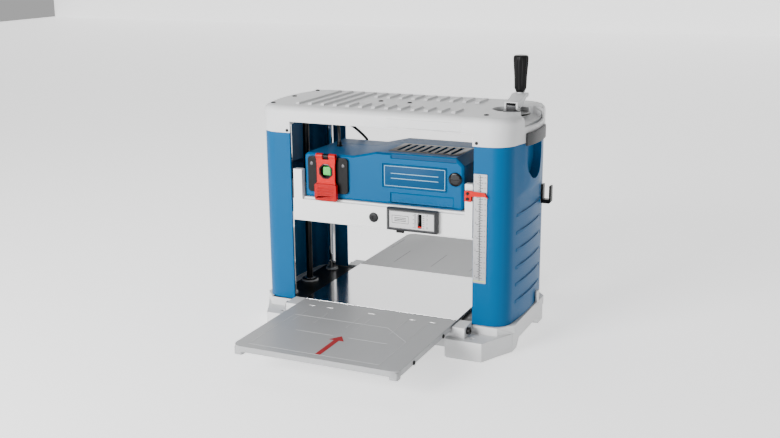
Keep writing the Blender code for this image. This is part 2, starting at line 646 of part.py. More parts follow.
spindle = turned("Z", (SCREW_X, CRANK_THROW), [
    (0, GRIP_BASE_Z - 0.002), (0.0065, GRIP_BASE_Z - 0.002), (0.0065, GRIP_BASE_Z + 0.002),
    (GRIP_BOLT_RADIUS, GRIP_BASE_Z + 0.002), (GRIP_BOLT_RADIUS, GRIP_TOP_Z - 0.012), (0, GRIP_TOP_Z - 0.012)],
    SMALL_ROUND)
crank_arm = combined(
    "crank_arm", CAST_GREY, prism("X", arm_side, SCREW_X - CHEEK_OUT, SCREW_X + CHEEK_OUT), ("UNION", [spindle]),
    ("DIFFERENCE", [block((SCREW_X - CHEEK_IN, -0.02, HUB_LOW - 0.01),
                          (SCREW_X + CHEEK_IN, 0.0135, CRANK_PIN_Z + TONGUE + 0.0007)),
                    rod("X", (0, CRANK_PIN_Z), PIN_RADIUS + GAP, SCREW_X - 0.02, SCREW_X + 0.02, 12)]))
grip_foot = GRIP_BASE_Z + 0.002 + GAP
grip_bore = GRIP_BOLT_RADIUS + RUN
crank_grip = link("crank_grip", turned("Z", (SCREW_X, CRANK_THROW), [
    (0, GRIP_TOP_Z - 0.010), (grip_bore, GRIP_TOP_Z - 0.010), (grip_bore, grip_foot), (0.0088, grip_foot),
    (0.0088, grip_foot + 0.003), (0.0110, grip_foot + 0.006), (0.0120, grip_foot + 0.022),
    (0.0138, grip_foot + 0.045), (0.0145, grip_foot + 0.060), (0.0140, GRIP_TOP_Z - 0.003),
    (0.0115, GRIP_TOP_Z - 0.0008), (0, GRIP_TOP_Z)]), BLACK_PLASTIC)


# ---------------------------------------------------------------- folding tables
tables = {}
for end_name, end in ENDS:
    corner = 0.018
    plan = [(BED_HALF_WIDTH, -TABLE_BACK), (BED_HALF_WIDTH, -TABLE_FRONT + corner)]
    plan += arc((BED_HALF_WIDTH - corner, -TABLE_FRONT + corner), corner, 0, -90, 4)[1:]
    plan += [(-a, b) for a, b in reversed(plan)]
    skirt_end = -HINGE_Y - 0.015
    outer = [(BED_HALF_WIDTH, skirt_end)] + plan[1:-1] + [(-BED_HALF_WIDTH, skirt_end)]
    shrink = (BED_HALF_WIDTH - TABLE_RIM) / BED_HALF_WIDTH
    inner = [(a * shrink, max(b, -TABLE_FRONT + TABLE_RIM) if b < skirt_end else b) for a, b in outer]
    rim = prism("Z", outer + inner[::-1], BED_TOP - TABLE_SKIRT, BED_TOP - TABLE_SHEET + 0.001)
    joined = [rim]
    bores = []
    for _, side in SIDES:
        low_x, high_x = span(side, BED_HALF_WIDTH - 0.022, BED_HALF_WIDTH)
        joined.append(rod("X", (-HINGE_Y, HINGE_Z), 0.009, low_x, high_x, 20))
        foot_x = span(side, BED_HALF_WIDTH - 0.020, BED_HALF_WIDTH - 0.003)
        joined.append(block((foot_x[0], -TABLE_FRONT + 0.003, BED_TOP - 0.018),
                            (foot_x[1], -TABLE_FRONT + 0.020, BED_TOP - TABLE_SHEET + 0.001), 0.004))
        bores.append(rod("X", (-HINGE_Y, HINGE_Z), HINGE_BOLT_RADIUS + RUN, low_x - 0.002, high_x + 0.002, 16))
        for x in (0.045, 0.110):
            joined.append(block((side * x - 0.0015, -TABLE_FRONT + TABLE_RIM - 0.001, BED_TOP - TABLE_SKIRT + 0.001),
                                (side * x + 0.0015, skirt_end, BED_TOP - TABLE_SHEET + 0.001)))
    sheet = prism("Z", plan, BED_TOP - TABLE_SHEET, BED_TOP)
    meshes = [sheet, *joined, *bores]
    if end > 0:
        for mesh in meshes:
            shape = bmesh.new()
            shape.from_mesh(mesh)
            bmesh.ops.scale(shape, verts=shape.verts[:], vec=(1, -1, 1))
            bmesh.ops.reverse_faces(shape, faces=shape.faces[:])
            shape.to_mesh(mesh)
            shape.free()
    name = {"front": "infeed_table", "rear": "outfeed_table"}[end_name]
    tables[end_name] = combined(name, TABLE_GREY, sheet, ("UNION", joined), ("DIFFERENCE", bores))
    rod_end = LUG_OUT + 0.0045
    hinge_rod = [(0, -rod_end), (0.007, -rod_end), (0.007, -LUG_OUT - GAP), (HINGE_BOLT_RADIUS, -LUG_OUT - GAP),
                 (HINGE_BOLT_RADIUS, LUG_OUT + GAP), (0.007, LUG_OUT + GAP), (0.007, rod_end), (0, rod_end)]
    link(name.replace("table", "hinge_rod"), turned("X", (end * HINGE_Y, HINGE_Z), hinge_rod, SMALL_ROUND),
         BLACK_STEEL)


# ---------------------------------------------------------------- head: carriage casting
joined = [
    block((-BAR_HALF_WIDTH, BAR_FRONT - BAR_THICK, BAR_LOW), (BAR_HALF_WIDTH, BAR_FRONT, BAR_TOP)),
    block((-WALL_OUT, -BAR_FRONT + 0.006, BAR_TOP - 0.0008), (WALL_OUT, BAR_FRONT - 0.001, BAR_TOP + HEAD_DECK)),
    block((-0.185, -BAR_FRONT, BAR_TOP - 0.002), (-0.1665, -BAR_FRONT + BAR_THICK, UPRIGHT_TOP)),
    block((0.1715, -BAR_FRONT, BAR_TOP - 0.002), (BAR_HALF_WIDTH, -BAR_FRONT + BAR_THICK, UPRIGHT_TOP)),
]
bores = [block((-0.120, 0.072, BAR_TOP - 0.01), (0.120, 0.098, BAR_TOP + HEAD_DECK + 0.01))]
for _, side in SIDES:
    wall_x = span(side, HEAD_WALL_IN, WALL_OUT)
    joined.append(block((wall_x[0], -BAR_FRONT + 0.002, BAR_LOW), (wall_x[1], BAR_FRONT - 0.002, BAR_TOP)))
    beam_x = span(side, BEAM_IN, BEAM_OUT)
    for _, end in ENDS:
        low_y, high_y = sorted((end * ARM_IN, end * (BEAM_HALF_LENGTH - 0.003)))
        arm_x = span(side, WALL_OUT - 0.002, BEAM_IN + 0.002)
        joined.append(block((arm_x[0], low_y, BEAM_LOW), (arm_x[1], high_y, BAR_TOP - 0.001)))
        joined.append(rod("Z", (side * COLUMN_X, end * COLUMN_Y), TOWER_RADIUS, BEAM_LOW + 0.002, TOWER_TOP))
        bores.append(rod("Z", (side * COLUMN_X, end * COLUMN_Y), COLUMN_RADIUS + RUN, 0.2, TOWER_TOP + 0.01))
        slot = arc((end * ROLLER_REACH, ROLLER_Z), SHAFT_RADIUS + RUN, 180, 360, 8)
        slot += arc((end * ROLLER_REACH, ROLLER_Z + ROLLER_LIFT), SHAFT_RADIUS + RUN, 0, 180, 8)
        bores.append(prism("X", slot, wall_x[0] - 0.002, wall_x[1] + 0.002))
    joined.append(block((beam_x[0], -BEAM_HALF_LENGTH, BEAM_LOW), (beam_x[1], BEAM_HALF_LENGTH, BAR_TOP), 0.006))
    bores.append(rod("Z", (side * SCREW_X, 0), NUT_SHANK + GAP, 0.2, 0.3))
    bores.append(rod("X", (0, CUTTER_Z), BEARING_RADIUS + GAP, wall_x[0] - 0.002, wall_x[1] + 0.002))
carriage_casting = combined(
    "carriage_casting", CAST_WHITE,
    block((-BAR_HALF_WIDTH, -BAR_FRONT, BAR_LOW), (BAR_HALF_WIDTH, -BAR_FRONT + BAR_THICK, BAR_TOP)),
    ("UNION", joined), ("DIFFERENCE", bores))
head_parts = [carriage_casting]
for side_name, side in SIDES:
    nut = [(SCREW_RADIUS + RUN, BAR_LOW - 0.009), (NUT_SHANK, BAR_LOW - 0.009), (NUT_SHANK, BAR_TOP + GAP),
           (NUT_FLANGE, BAR_TOP + GAP), (NUT_FLANGE, BAR_TOP + 0.0045), (SCREW_RADIUS + RUN, BAR_TOP + 0.0045)]
    head_parts.append(link(f"lift_nut_{side_name}", turned("Z", (side * SCREW_X, 0), nut, bored=True), BRONZE))
    bearing_x = span(side, HEAD_WALL_IN + 0.001, WALL_OUT - 0.001)
    head_parts.append(link(f"cutter_bearing_{side_name}",
                           ring("X", (0, CUTTER_Z), SHAFT_RADIUS + GAP, BEARING_RADIUS, *bearing_x), BARE_STEEL))

# cutterhead: drum with two knives, its pulley and belt
KNIFE_THICK = 0.0024
KNIFE_DEPTH = 0.0078
KNIFE_ROOT = DRUM_RADIUS - KNIFE_DEPTH
slot_half = KNIFE_THICK / 2 + GAP
edge = math.degrees(math.asin(slot_half / DRUM_RADIUS))
drum_outline = []
for turn in (0, 180):
    flip = 1 if turn == 0 else -1
    drum_outline += arc((0, CUTTER_Z), DRUM_RADIUS, turn + edge, turn + 180 - edge, 14)
    drum_outline += [(-flip * (KNIFE_ROOT - GAP), CUTTER_Z + flip * slot_half),
                     (-flip * (KNIFE_ROOT - GAP), CUTTER_Z - flip * slot_half)]
cutter_drum = combined(
    "cutter_drum", BARE_STEEL, prism("X", drum_outline, -DRUM_LENGTH / 2, DRUM_LENGTH / 2),
    ("UNION", [rod("X", (0, CUTTER_Z), SHAFT_RADIUS, -BELT_OUT - 0.001, DRUM_LENGTH / 2 + 0.011)]))
knives = []
for i, flip in enumerate((1, -1)):
    low, high = sorted((flip * KNIFE_ROOT, flip * CUT_RADIUS))
    knife = [(low, CUTTER_Z - KNIFE_THICK / 2), (high, CUTTER_Z - KNIFE_THICK / 2),
             (high, CUTTER_Z + KNIFE_THICK / 2), (low, CUTTER_Z + KNIFE_THICK / 2)]
    knives.append(link(f"knife_{i + 1}", prism("X", knife, -DRUM_LENGTH / 2, DRUM_LENGTH / 2), BARE_STEEL))
cutter_pulley = link("cutter_pulley", ring("X", (0, CUTTER_Z), SHAFT_RADIUS + GAP, CUTTER_PULLEY_RADIUS,
                                           -BELT_OUT, -BELT_IN), BLACK_STEEL)
motor_pulley = link("motor_pulley", ring("X", (MOTOR_AXIS_Y, MOTOR_AXIS_Z), 0.004 + GAP, MOTOR_PULLEY_RADIUS,
                                         -BELT_OUT, -BELT_IN), BLACK_STEEL)
belt_lines = []
for grow in (GAP, GAP + BELT_THICK, GAP + BELT_THICK + 0.003, GAP + BELT_THICK + 0.0045):
    belt_lines.append(loop_round((0, CUTTER_Z), CUTTER_PULLEY_RADIUS + grow,
                                 (MOTOR_AXIS_Y, MOTOR_AXIS_Z), MOTOR_PULLEY_RADIUS + grow))
head_parts.append(link("drive_belt", prism("X", belt_lines[1], -BELT_OUT + 0.001, -BELT_IN - 0.001, belt_lines[0]),
                       RUBBER))
belt_guard = combined("belt_guard", BLACK_PLASTIC,
                      prism("X", belt_lines[3], -BELT_OUT - 0.0035, -WALL_OUT - GAP),
                      ("DIFFERENCE", [prism("X", belt_lines[2], -BELT_OUT - 0.0018, -WALL_OUT + 0.01)]))
head_parts.append(belt_guard)

# feed rollers: rubber bonded to a steel shaft, in slots that let the shaft rise against its springs
roller_parts = {}
for end_name, end in ENDS:
    name = {"front": "infeed", "rear": "outfeed"}[end_name]
    half = DRUM_LENGTH / 2
    stem = [(0, -WALL_OUT + 0.001), (SHAFT_RADIUS, -WALL_OUT + 0.001), (SHAFT_RADIUS, -half),
            (ROLLER_RADIUS - 0.001, -half), (ROLLER_RADIUS, -half + 0.001), (ROLLER_RADIUS, half - 0.001),
            (ROLLER_RADIUS - 0.001, half), (SHAFT_RADIUS, half),
            (SHAFT_RADIUS, WALL_OUT + 0.003), (FEED_SPROCKET_RADIUS, WALL_OUT + 0.003),
            (FEED_SPROCKET_RADIUS, WALL_OUT + 0.007), (0, WALL_OUT + 0.007)]
    roller = turned("X", (end * ROLLER_REACH, ROLLER_Z), stem, SMALL_ROUND + 2)
    roller_parts[end_name] = link(f"{name}_roller", roller, RUBBER)
chain_rings = []
for grow in (GAP, GAP + 0.0025):
    radius = FEED_SPROCKET_RADIUS + grow
    points = []
    for y, z, start in ((ROLLER_REACH, ROLLER_Z, -90), (ROLLER_REACH, ROLLER_Z + ROLLER_LIFT, 0),
                        (-ROLLER_REACH, ROLLER_Z + ROLLER_LIFT, 90), (-ROLLER_REACH, ROLLER_Z, 180)):
        points += arc((y, z), radius, start, start + 90, 5)
    chain_rings.append(points)
head_parts.append(link("feed_chain", prism("X", chain_rings[1], WALL_OUT + 0.0035, WALL_OUT + 0.0065, chain_rings[0]),
                       BLACK_STEEL))
feed_guard = combined(
    "feed_gearbox_cover", BLACK_PLASTIC,
    block((WALL_OUT + GAP, -0.068, ROLLER_Z - 0.0185), (WALL_OUT + 0.0125, 0.068, BAR_TOP), 0.008, "X"),
    ("DIFFERENCE", [block((WALL_OUT - 0.01, -0.0665, ROLLER_Z - 0.0170), (WALL_OUT + 0.011, 0.0665, BAR_TOP - 0.0015),
                          0.0065, "X")]))
head_parts.append(feed_guard)

# anti-kickback fingers: a comb of pawls that hangs on a rod in front of the infeed roller
KICK_Y = -0.092
KICK_Z = 0.250
KICK_ROD_RADIUS = 0.003
FINGER_COUNT = 12
FINGER_PITCH = 0.0264
FINGER_WIDTH = 0.004
kickback_rod = link("kickback_rod", rod("X", (KICK_Y, KICK_Z), KICK_ROD_RADIUS, -HEAD_WALL_IN + GAP,
                                        HEAD_WALL_IN - GAP, 16), BARE_STEEL)
head_parts.append(kickback_rod)
finger = [(KICK_Y - 0.004, KICK_Z), (KICK_Y - 0.0050, 0.2320), (KICK_Y - 0.0020, 0.2140),
          (KICK_Y + 0.0035, BED_TOP + MAX_OPENING - 0.0012), (KICK_Y + 0.0050, 0.2230), (KICK_Y + 0.0045, KICK_Z)]
fingers = []
for i in range(FINGER_COUNT):
    x = (i - (FINGER_COUNT - 1) / 2) * FINGER_PITCH
    fingers.append(prism("X", finger, x - FINGER_WIDTH / 2, x + FINGER_WIDTH / 2))
kickback_fingers = combined(
    "kickback_fingers", BLACK_STEEL, rod("X", (KICK_Y, KICK_Z), 0.0060, -0.157, 0.157, 16),
    ("UNION", fingers),
    ("DIFFERENCE", [rod("X", (KICK_Y, KICK_Z), KICK_ROD_RADIUS + RUN, -0.17, 0.17, 16)]))


# ---------------------------------------------------------------- head: motor in its housing
def inset_line(points, distance):
    """An anticlockwise outline moved inwards by a distance."""
    moved = []
    for i, point in enumerate(points):
        before = Vector(points[i - 1])
        here = Vector(point)
        after = Vector(points[(i + 1) % len(points)])
        first = (here - before).normalized()
        second = (after - here).normalized()
        normal = Vector((-first.y, first.x)) + Vector((-second.y, second.x))
        scale = 2 * distance / normal.dot(normal)
        moved.append(tuple(here + normal * scale))
    return moved


def stacked(rings):
    """A closed body through rings that stand across Y, each a list of (x, z) points and its y."""
    shape = bmesh.new()
    loops = [[shape.verts.new((a, along, b)) for a, b in outline] for outline, along in rings]
    shape.faces.new(loops[0])
    shape.faces.new(loops[-1])
    for near, far in zip(loops, loops[1:]):
        for i in range(len(near)):
            j = (i + 1) % len(near)
            shape.faces.new((near[i], near[j], far[j], far[i]))
    return as_mesh("stacked", shape)


HOUSING_LOW = BAR_TOP + HEAD_DECK + GAP
HOUSING_EDGE = 0.004
housing_line = [
    (MOTOR_LEFT + 0.003, HOUSING_LOW), (MOTOR_RIGHT - 0.006, HOUSING_LOW), (MOTOR_RIGHT, HOUSING_LOW + 0.006),
    (MOTOR_RIGHT, MOTOR_TOP - 0.014), (MOTOR_RIGHT - 0.016, MOTOR_TOP), (-0.010, MOTOR_TOP),
    (-0.058, SWITCH_BOX_TOP), (MOTOR_LEFT + 0.006, SWITCH_BOX_TOP), (MOTOR_LEFT, SWITCH_BOX_TOP - 0.006),
    (MOTOR_LEFT, HOUSING_LOW + 0.003),
]
housing_core = inset_line(housing_line, MOTOR_WALL)
SEAM = GAP / 2
BRUSH_X = 0.150
BRUSH_Z = 0.3255
BRUSH_RADIUS = 0.013
BUTTON_X = -0.1115
BUTTON_Z = 0.3220
shaft_hole = rod("X", (MOTOR_AXIS_Y, MOTOR_AXIS_Z), 0.008, MOTOR_LEFT - 0.01, MOTOR_LEFT + 0.01, 16)
front_cuts = [
    prism("Y", housing_core, MOTOR_FRONT + MOTOR_WALL, MOTOR_SPLIT + 0.02),
    shaft_hole,
    block((BUTTON_X - 0.020, MOTOR_FRONT - 0.01, BUTTON_Z - 0.026), (BUTTON_X + 0.020, MOTOR_FRONT + 0.01,
                                                                 BUTTON_Z + 0.016)),
    rod("Y", (BRUSH_X, BRUSH_Z), 0.006, MOTOR_FRONT - 0.01, MOTOR_FRONT + 0.01, 16),
]
for i in range(8):
    x = 0.018 + i * 0.0155
    front_cuts.append(block((x, -0.080, MOTOR_TOP - 0.01), (x + 0.0075, -0.018, MOTOR_TOP + 0.01)))
motor_housing_front = combined(
    "motor_housing_front", BLUE,
    stacked([(inset_line(housing_line, HOUSING_EDGE), MOTOR_FRONT), (housing_line, MOTOR_FRONT + HOUSING_EDGE),
             (housing_line, MOTOR_SPLIT - SEAM)]),
    ("DIFFERENCE", front_cuts))
rear_cuts = [prism("Y", housing_core, MOTOR_SPLIT - 0.02, MOTOR_BACK - MOTOR_WALL)]
for i in range(6):
    z = 0.290 + i * 0.010
    rear_cuts.append(block((0.030, MOTOR_BACK - 0.01, z), (0.130, MOTOR_BACK + 0.01, z + 0.005)))
motor_housing_rear = combined(
    "motor_housing_rear", BLUE,
    stacked([(housing_line, MOTOR_SPLIT + SEAM), (housing_line, MOTOR_BACK - HOUSING_EDGE),
             (inset_line(housing_line, HOUSING_EDGE), MOTOR_BACK)]),
    ("DIFFERENCE", rear_cuts))
motor_centre = (MOTOR_AXIS_Y, MOTOR_AXIS_Z)
STATOR_RADIUS = 0.036
ROTOR_RADIUS = 0.024
motor_stator = link("motor_stator", ring("X", motor_centre, ROTOR_RADIUS + 0.0008, STATOR_RADIUS, 0.045, 0.115),
                    COPPER)
motor_armature = link("motor_armature", turned("X", motor_centre, [
    (0, -BELT_OUT - 0.001), (0.004, -BELT_OUT - 0.001), (0.004, 0.012), (0.033, 0.014), (0.033, 0.022),
    (0.006, 0.024), (0.006, 0.042), (ROTOR_RADIUS, 0.046), (ROTOR_RADIUS, 0.114), (0.006, 0.118),
    (0.006, 0.136), (0.014, 0.137), (0.014, 0.156), (0.004, 0.157), (0.004, 0.1615), (0, 0.1615)]), BARE_STEEL)
BRUSH_FACE = MOTOR_FRONT - GAP
brush_cap = link("brush_cap", turned("Y", (BRUSH_X, BRUSH_Z), [
    (0, BRUSH_FACE - 0.003), (BRUSH_RADIUS - 0.0025, BRUSH_FACE - 0.003), (BRUSH_RADIUS, BRUSH_FACE - 0.0015),
    (BRUSH_RADIUS, BRUSH_FACE), (0, BRUSH_FACE)]), BLACK_PLASTIC)
head_parts += [motor_housing_front, motor_housing_rear, motor_stator, brush_cap]

# chip hood on the head's deck, over the slot behind the drum
HOOD_HALF = 0.132
HOOD_FRONT = MOTOR_BACK + 0.003
HOOD_BACK = 0.117
HOOD_TOP = 0.334
HOOD_WALL = 0.0025
PORT_X = 0.060
PORT_Z = 0.3005
PORT_RADIUS = 0.0305
chip_hood = combined(
    "chip_hood", BLACK_PLASTIC,
    block((-HOOD_HALF, HOOD_FRONT, HOUSING_LOW), (HOOD_HALF, HOOD_BACK, HOOD_TOP), 0.008),
    ("UNION", [rod("Y", (PORT_X, PORT_Z), PORT_RADIUS, HOOD_BACK - 0.004, 0.131)]),
    ("DIFFERENCE", [block((-HOOD_HALF + HOOD_WALL, HOOD_FRONT + HOOD_WALL, HOUSING_LOW - 0.01),
                          (HOOD_HALF - HOOD_WALL, HOOD_BACK - HOOD_WALL, HOOD_TOP - HOOD_WALL), 0.0055),
                    rod("Y", (PORT_X, PORT_Z), PORT_RADIUS - 0.002, HOOD_BACK - 0.01, 0.14)]))
head_parts.append(chip_hood)

# the motor's lead, from the switch box up and back to the rear shell
LEAD_RADIUS = 0.003
lead_route = [
    (-0.128, -0.030, SWITCH_BOX_TOP + 0.001), (-0.128, -0.030, 0.366), (-0.134, -0.020, 0.385),
    (-0.146, 0.000, 0.3975), (-0.150, 0.025, 0.396), (-0.142, 0.048, 0.385), (-0.130, 0.066, 0.368),
    (-0.118, 0.075, 0.352), (-0.114, 0.077, HOOD_TOP + 0.010), (-0.114, 0.077, HOOD_TOP + 0.0015),
]


def smooth_route(points, spacing):
    """Points at even steps along a smooth curve through a few chosen points."""
    dense = []
    count = len(points)
    for i in range(count - 1):
        p0 = Vector(points[max(i - 1, 0)])
        p1 = Vector(points[i])
        p2 = Vector(points[i + 1])
        p3 = Vector(points[min(i + 2, count - 1)])
        for k in range(20):
            t = k / 20
            dense.append(0.5 * (2 * p1 + (p2 - p0) * t + (2 * p0 - 5 * p1 + 4 * p2 - p3) * t * t
                                + (3 * p1 - p0 - 3 * p2 + p3) * t * t * t))
    dense.append(Vector(points[-1]))
    kept = [dense[0]]
    for point in dense:
        if (point - kept[-1]).length >= spacing:
            kept.append(point)
    kept[-1] = dense[-1]
    return kept


def tube_along(name, points, radius, material):
    """A round tube along points, as a curve with its ends filled."""
    curve = bpy.data.curves.new(name, "CURVE")
    curve.dimensions = "3D"
    curve.bevel_depth = radius
    curve.bevel_resolution = 2
    curve.use_fill_caps = True
    spline = curve.splines.new("POLY")
    spline.points.add(len(points) - 1)
    for spot, point in zip(spline.points, points):
        spot.co = (*point, 1.0)
    curve.materials.append(material)
    obj = bpy.data.objects.new(name, curve)
    bpy.context.collection.objects.link(obj)
    return obj


head_parts.append(tube_along("motor_lead", smooth_route(lead_route, LEAD_RADIUS * 4), LEAD_RADIUS, RUBBER))


# ---------------------------------------------------------------- head: switch and depth gauge
PLATE_BACK = MOTOR_FRONT - GAP
PLATE_FRONT = PLATE_BACK - 0.0045
BUTTON_HALF = 0.0082
start_button = link("start_button", block((BUTTON_X - BUTTON_HALF, PLATE_FRONT - 0.0032, BUTTON_Z - BUTTON_HALF),
                                          (BUTTON_X + BUTTON_HALF, PLATE_BACK + 0.004, BUTTON_Z + BUTTON_HALF),
                                          0.0015, "Y"), GREEN)
PADDLE_X = BUTTON_X
PLATE_HALF = 0.043
PLATE_LOW = 0.278
PLATE_TOP = 0.3485
PADDLE_BACK = PLATE_FRONT - 0.0040
PADDLE_HINGE_Z = BUTTON_Z + 0.0295
PADDLE_LOW = 0.2645
PADDLE_HALF = 0.0205
PAD_HALF = 0.0235
PAD_TOP = 0.2975
PADDLE_HINGE_Y = PADDLE_BACK - 0.0005
BARREL_RADIUS = 0.0052
PADDLE_PIN_RADIUS = 0.0015
hinge_line = (PADDLE_HINGE_Y, PADDLE_HINGE_Z)
switch_plate = combined(
    "switch_plate", BLACK_PLASTIC,
    block((PADDLE_X - PLATE_HALF, PLATE_FRONT, PLATE_LOW), (PADDLE_X + PLATE_HALF, PLATE_BACK, PLATE_TOP), 0.007, "Y"),
    ("UNION", [rod("X", hinge_line, 0.0045, PADDLE_X - 0.0060, PADDLE_X + 0.0060, 12),
               rod("X", hinge_line, PADDLE_PIN_RADIUS, PADDLE_X - 0.0225, PADDLE_X + 0.0225, 12),
               block((PADDLE_X - 0.0055, PADDLE_HINGE_Y + 0.001, PADDLE_HINGE_Z - 0.0080),
                     (PADDLE_X + 0.0055, PLATE_BACK - 0.0002, PADDLE_HINGE_Z + 0.0010))]),
    ("DIFFERENCE", [block((BUTTON_X - BUTTON_HALF - RUN, PLATE_FRONT - 0.01, BUTTON_Z - BUTTON_HALF - RUN),
                          (BUTTON_X + BUTTON_HALF + RUN, PLATE_BACK + 0.01, BUTTON_Z + BUTTON_HALF + RUN))]))
window = [(PADDLE_X + 0.0140 * math.cos(math.radians(a)), BUTTON_Z + 0.0140 * math.sin(math.radians(a)))
          for a in range(22, 382, 45)]
paddle = combined(
    "stop_paddle", RED,
    block((PADDLE_X - PADDLE_HALF, PADDLE_BACK - 0.0035, PAD_TOP - 0.0075),
          (PADDLE_X + PADDLE_HALF, PADDLE_BACK, PADDLE_HINGE_Z), 0.003, "Y"),
    ("UNION", [block((PADDLE_X - PAD_HALF, PADDLE_BACK - 0.0075, PADDLE_LOW),
                     (PADDLE_X + PAD_HALF, PADDLE_BACK, PAD_TOP), 0.004, "Y"),
               rod("X", hinge_line, BARREL_RADIUS, PADDLE_X - PADDLE_HALF - 0.0005,
                   PADDLE_X + PADDLE_HALF + 0.0005, 12)]),
    ("DIFFERENCE", [prism("Y", window, PADDLE_BACK - 0.01, PADDLE_BACK + 0.01),
                    block((PADDLE_X - 0.0065, PADDLE_BACK - 0.02, PADDLE_HINGE_Z - 0.0065),
                          (PADDLE_X + 0.0065, PADDLE_BACK + 0.02, PADDLE_HINGE_Z + 0.0065)),
                    rod("X", hinge_line, PADDLE_PIN_RADIUS + RUN, PADDLE_X - 0.03, PADDLE_X + 0.03, 12)]))
head_parts.append(switch_plate)

GAUGE_LEFT = 0.019
GAUGE_RIGHT = 0.121
GAUGE_LOW = 0.222
GAUGE_HIGH = 0.265
GAUGE_BACK = -BAR_FRONT - GAP
GAUGE_FRONT = GAUGE_BACK - 0.0125
GAUGE_RIM = 0.005
SLOT_X = 0.0865
SLOT_HALF = 0.0045
gauge_inner = ((GAUGE_LEFT + GAUGE_RIM, GAUGE_LOW + GAUGE_RIM), (GAUGE_RIGHT - GAUGE_RIM, GAUGE_HIGH - GAUGE_RIM))
bezel_outline = [(GAUGE_LEFT, GAUGE_LOW), (GAUGE_RIGHT, GAUGE_LOW), (GAUGE_RIGHT, GAUGE_HIGH), (GAUGE_LEFT, GAUGE_HIGH)]
FEELER_LEFT = 0.036
FEELER_RIGHT = 0.052
gauge_bezel = combined(
    "gauge_bezel", GREY_PLASTIC,
    stacked([(inset_line(bezel_outline, 0.003), GAUGE_FRONT), (bezel_outline, GAUGE_FRONT + 0.003),
             (bezel_outline, GAUGE_BACK)]),
    ("DIFFERENCE", [block((gauge_inner[0][0], GAUGE_FRONT - 0.01, gauge_inner[0][1]),
                          (gauge_inner[1][0], GAUGE_BACK + 0.01, gauge_inner[1][1])),
                    block((FEELER_LEFT - RUN, GAUGE_BACK - 0.0050, GAUGE_LOW - 0.01),
                          (FEELER_RIGHT + RUN, GAUGE_BACK + 0.01, GAUGE_LOW + 0.010))]))
FACE_FRONT = GAUGE_FRONT + 0.0025
gauge_face = combined(
    "gauge_face", FACE,
    block((gauge_inner[0][0] + GAP, FACE_FRONT, gauge_inner[0][1] + GAP),
          (gauge_inner[1][0] - GAP, FACE_FRONT + 0.0015, gauge_inner[1][1] - GAP)),
    ("DIFFERENCE", [block((SLOT_X - SLOT_HALF, FACE_FRONT - 0.01, 0.2300), (SLOT_X + SLOT_HALF, FACE_FRONT + 0.01,
                                                                          0.2575), 0.002, "Y")]))
POINTER_LOW = 0.2315
gauge_pointer = link("gauge_pointer", block((SLOT_X - SLOT_HALF + RUN, FACE_FRONT - 0.0004, POINTER_LOW),
                                            (SLOT_X + SLOT_HALF - RUN, FACE_FRONT + 0.0040, POINTER_LOW + 0.0022)), RED)
depth_feeler = link("depth_feeler", block((FEELER_LEFT, GAUGE_BACK - 0.0045, BED_TOP + MAX_OPENING + 0.0036),
                                          (FEELER_RIGHT, GAUGE_BACK - 0.0008, 0.243), 0.0015, "Y"), BLACK_PLASTIC)
head_parts += [gauge_bezel, gauge_face]

# red pointer over the depth scale, screwed to the right upright
POINTER_IN = 0.1735
POINTER_PAD = 0.1865
PAD_LOW = 0.290
PAD_HIGH = 0.310
pointer_line = [(POINTER_IN, PAD_LOW), (POINTER_PAD, PAD_LOW), (POINTER_PAD, PAD_LOW + 0.010),
                (SCALE_RIGHT - 0.0025, PAD_LOW + 0.011), (SCALE_RIGHT + 0.003, PAD_LOW + 0.0085),
                (SCALE_RIGHT - 0.003, PAD_HIGH - 0.0015), (POINTER_PAD, PAD_HIGH), (POINTER_IN, PAD_HIGH)]
scale_pointer = combined(
    "scale_pointer", RED, prism("Y", pointer_line, -BAR_FRONT - 0.0075, -BAR_FRONT - 0.0048),
    ("UNION", [block((POINTER_IN, -BAR_FRONT - 0.0060, PAD_LOW), (POINTER_PAD, -BAR_FRONT - GAP, PAD_HIGH))]))
head_parts.append(scale_pointer)


# ---------------------------------------------------------------- joints
head_lift = joint("head_lift", (0, 0, CUTTER_Z))
attach(head_lift, *head_parts)
cutter_spin = joint("cutter_spin", (0, 0, CUTTER_Z), head_lift)
attach(cutter_spin, cutter_drum, cutter_pulley, *knives)
motor_spin = joint("motor_spin", (0, MOTOR_AXIS_Y, MOTOR_AXIS_Z), head_lift)
attach(motor_spin, motor_armature, motor_pulley)
for end_name, end in ENDS:
    name = {"front": "infeed", "rear": "outfeed"}[end_name]
    spin = joint(f"{name}_roller_spin", (0, end * ROLLER_REACH, ROLLER_Z), head_lift)
    attach(spin, roller_parts[end_name])
    fold = joint(f"{name}_table_fold", (0, end * HINGE_Y, HINGE_Z))
    attach(fold, tables[end_name])
kickback_swing = joint("kickback_swing", (0, KICK_Y, KICK_Z), head_lift)
attach(kickback_swing, kickback_fingers)
paddle_tilt = joint("paddle_tilt", (PADDLE_X, PADDLE_HINGE_Y, PADDLE_HINGE_Z), head_lift)
attach(paddle_tilt, paddle)
start_press = joint("start_press", (BUTTON_X, PLATE_FRONT, BUTTON_Z), head_lift)
attach(start_press, start_button)
feeler_lift = joint("feeler_lift", ((FEELER_LEFT + FEELER_RIGHT) / 2, GAUGE_BACK, GAUGE_LOW), head_lift)
attach(feeler_lift, depth_feeler)
pointer_rise = joint("pointer_rise", (SLOT_X, FACE_FRONT, POINTER_LOW), head_lift)
attach(pointer_rise, gauge_pointer)
screw_left_spin = joint("screw_left_spin", (-SCREW_X, 0, DECK_TOP))
attach(screw_left_spin, *screw_parts["left"])
screw_right_spin = joint("screw_right_spin", (SCREW_X, 0, DECK_TOP))
attach(screw_right_spin, *screw_parts["right"], index_dial, crank_hub, crank_pin)
crank_fold = joint("crank_fold", (SCREW_X, 0, CRANK_PIN_Z), screw_right_spin)
attach(crank_fold, crank_arm)
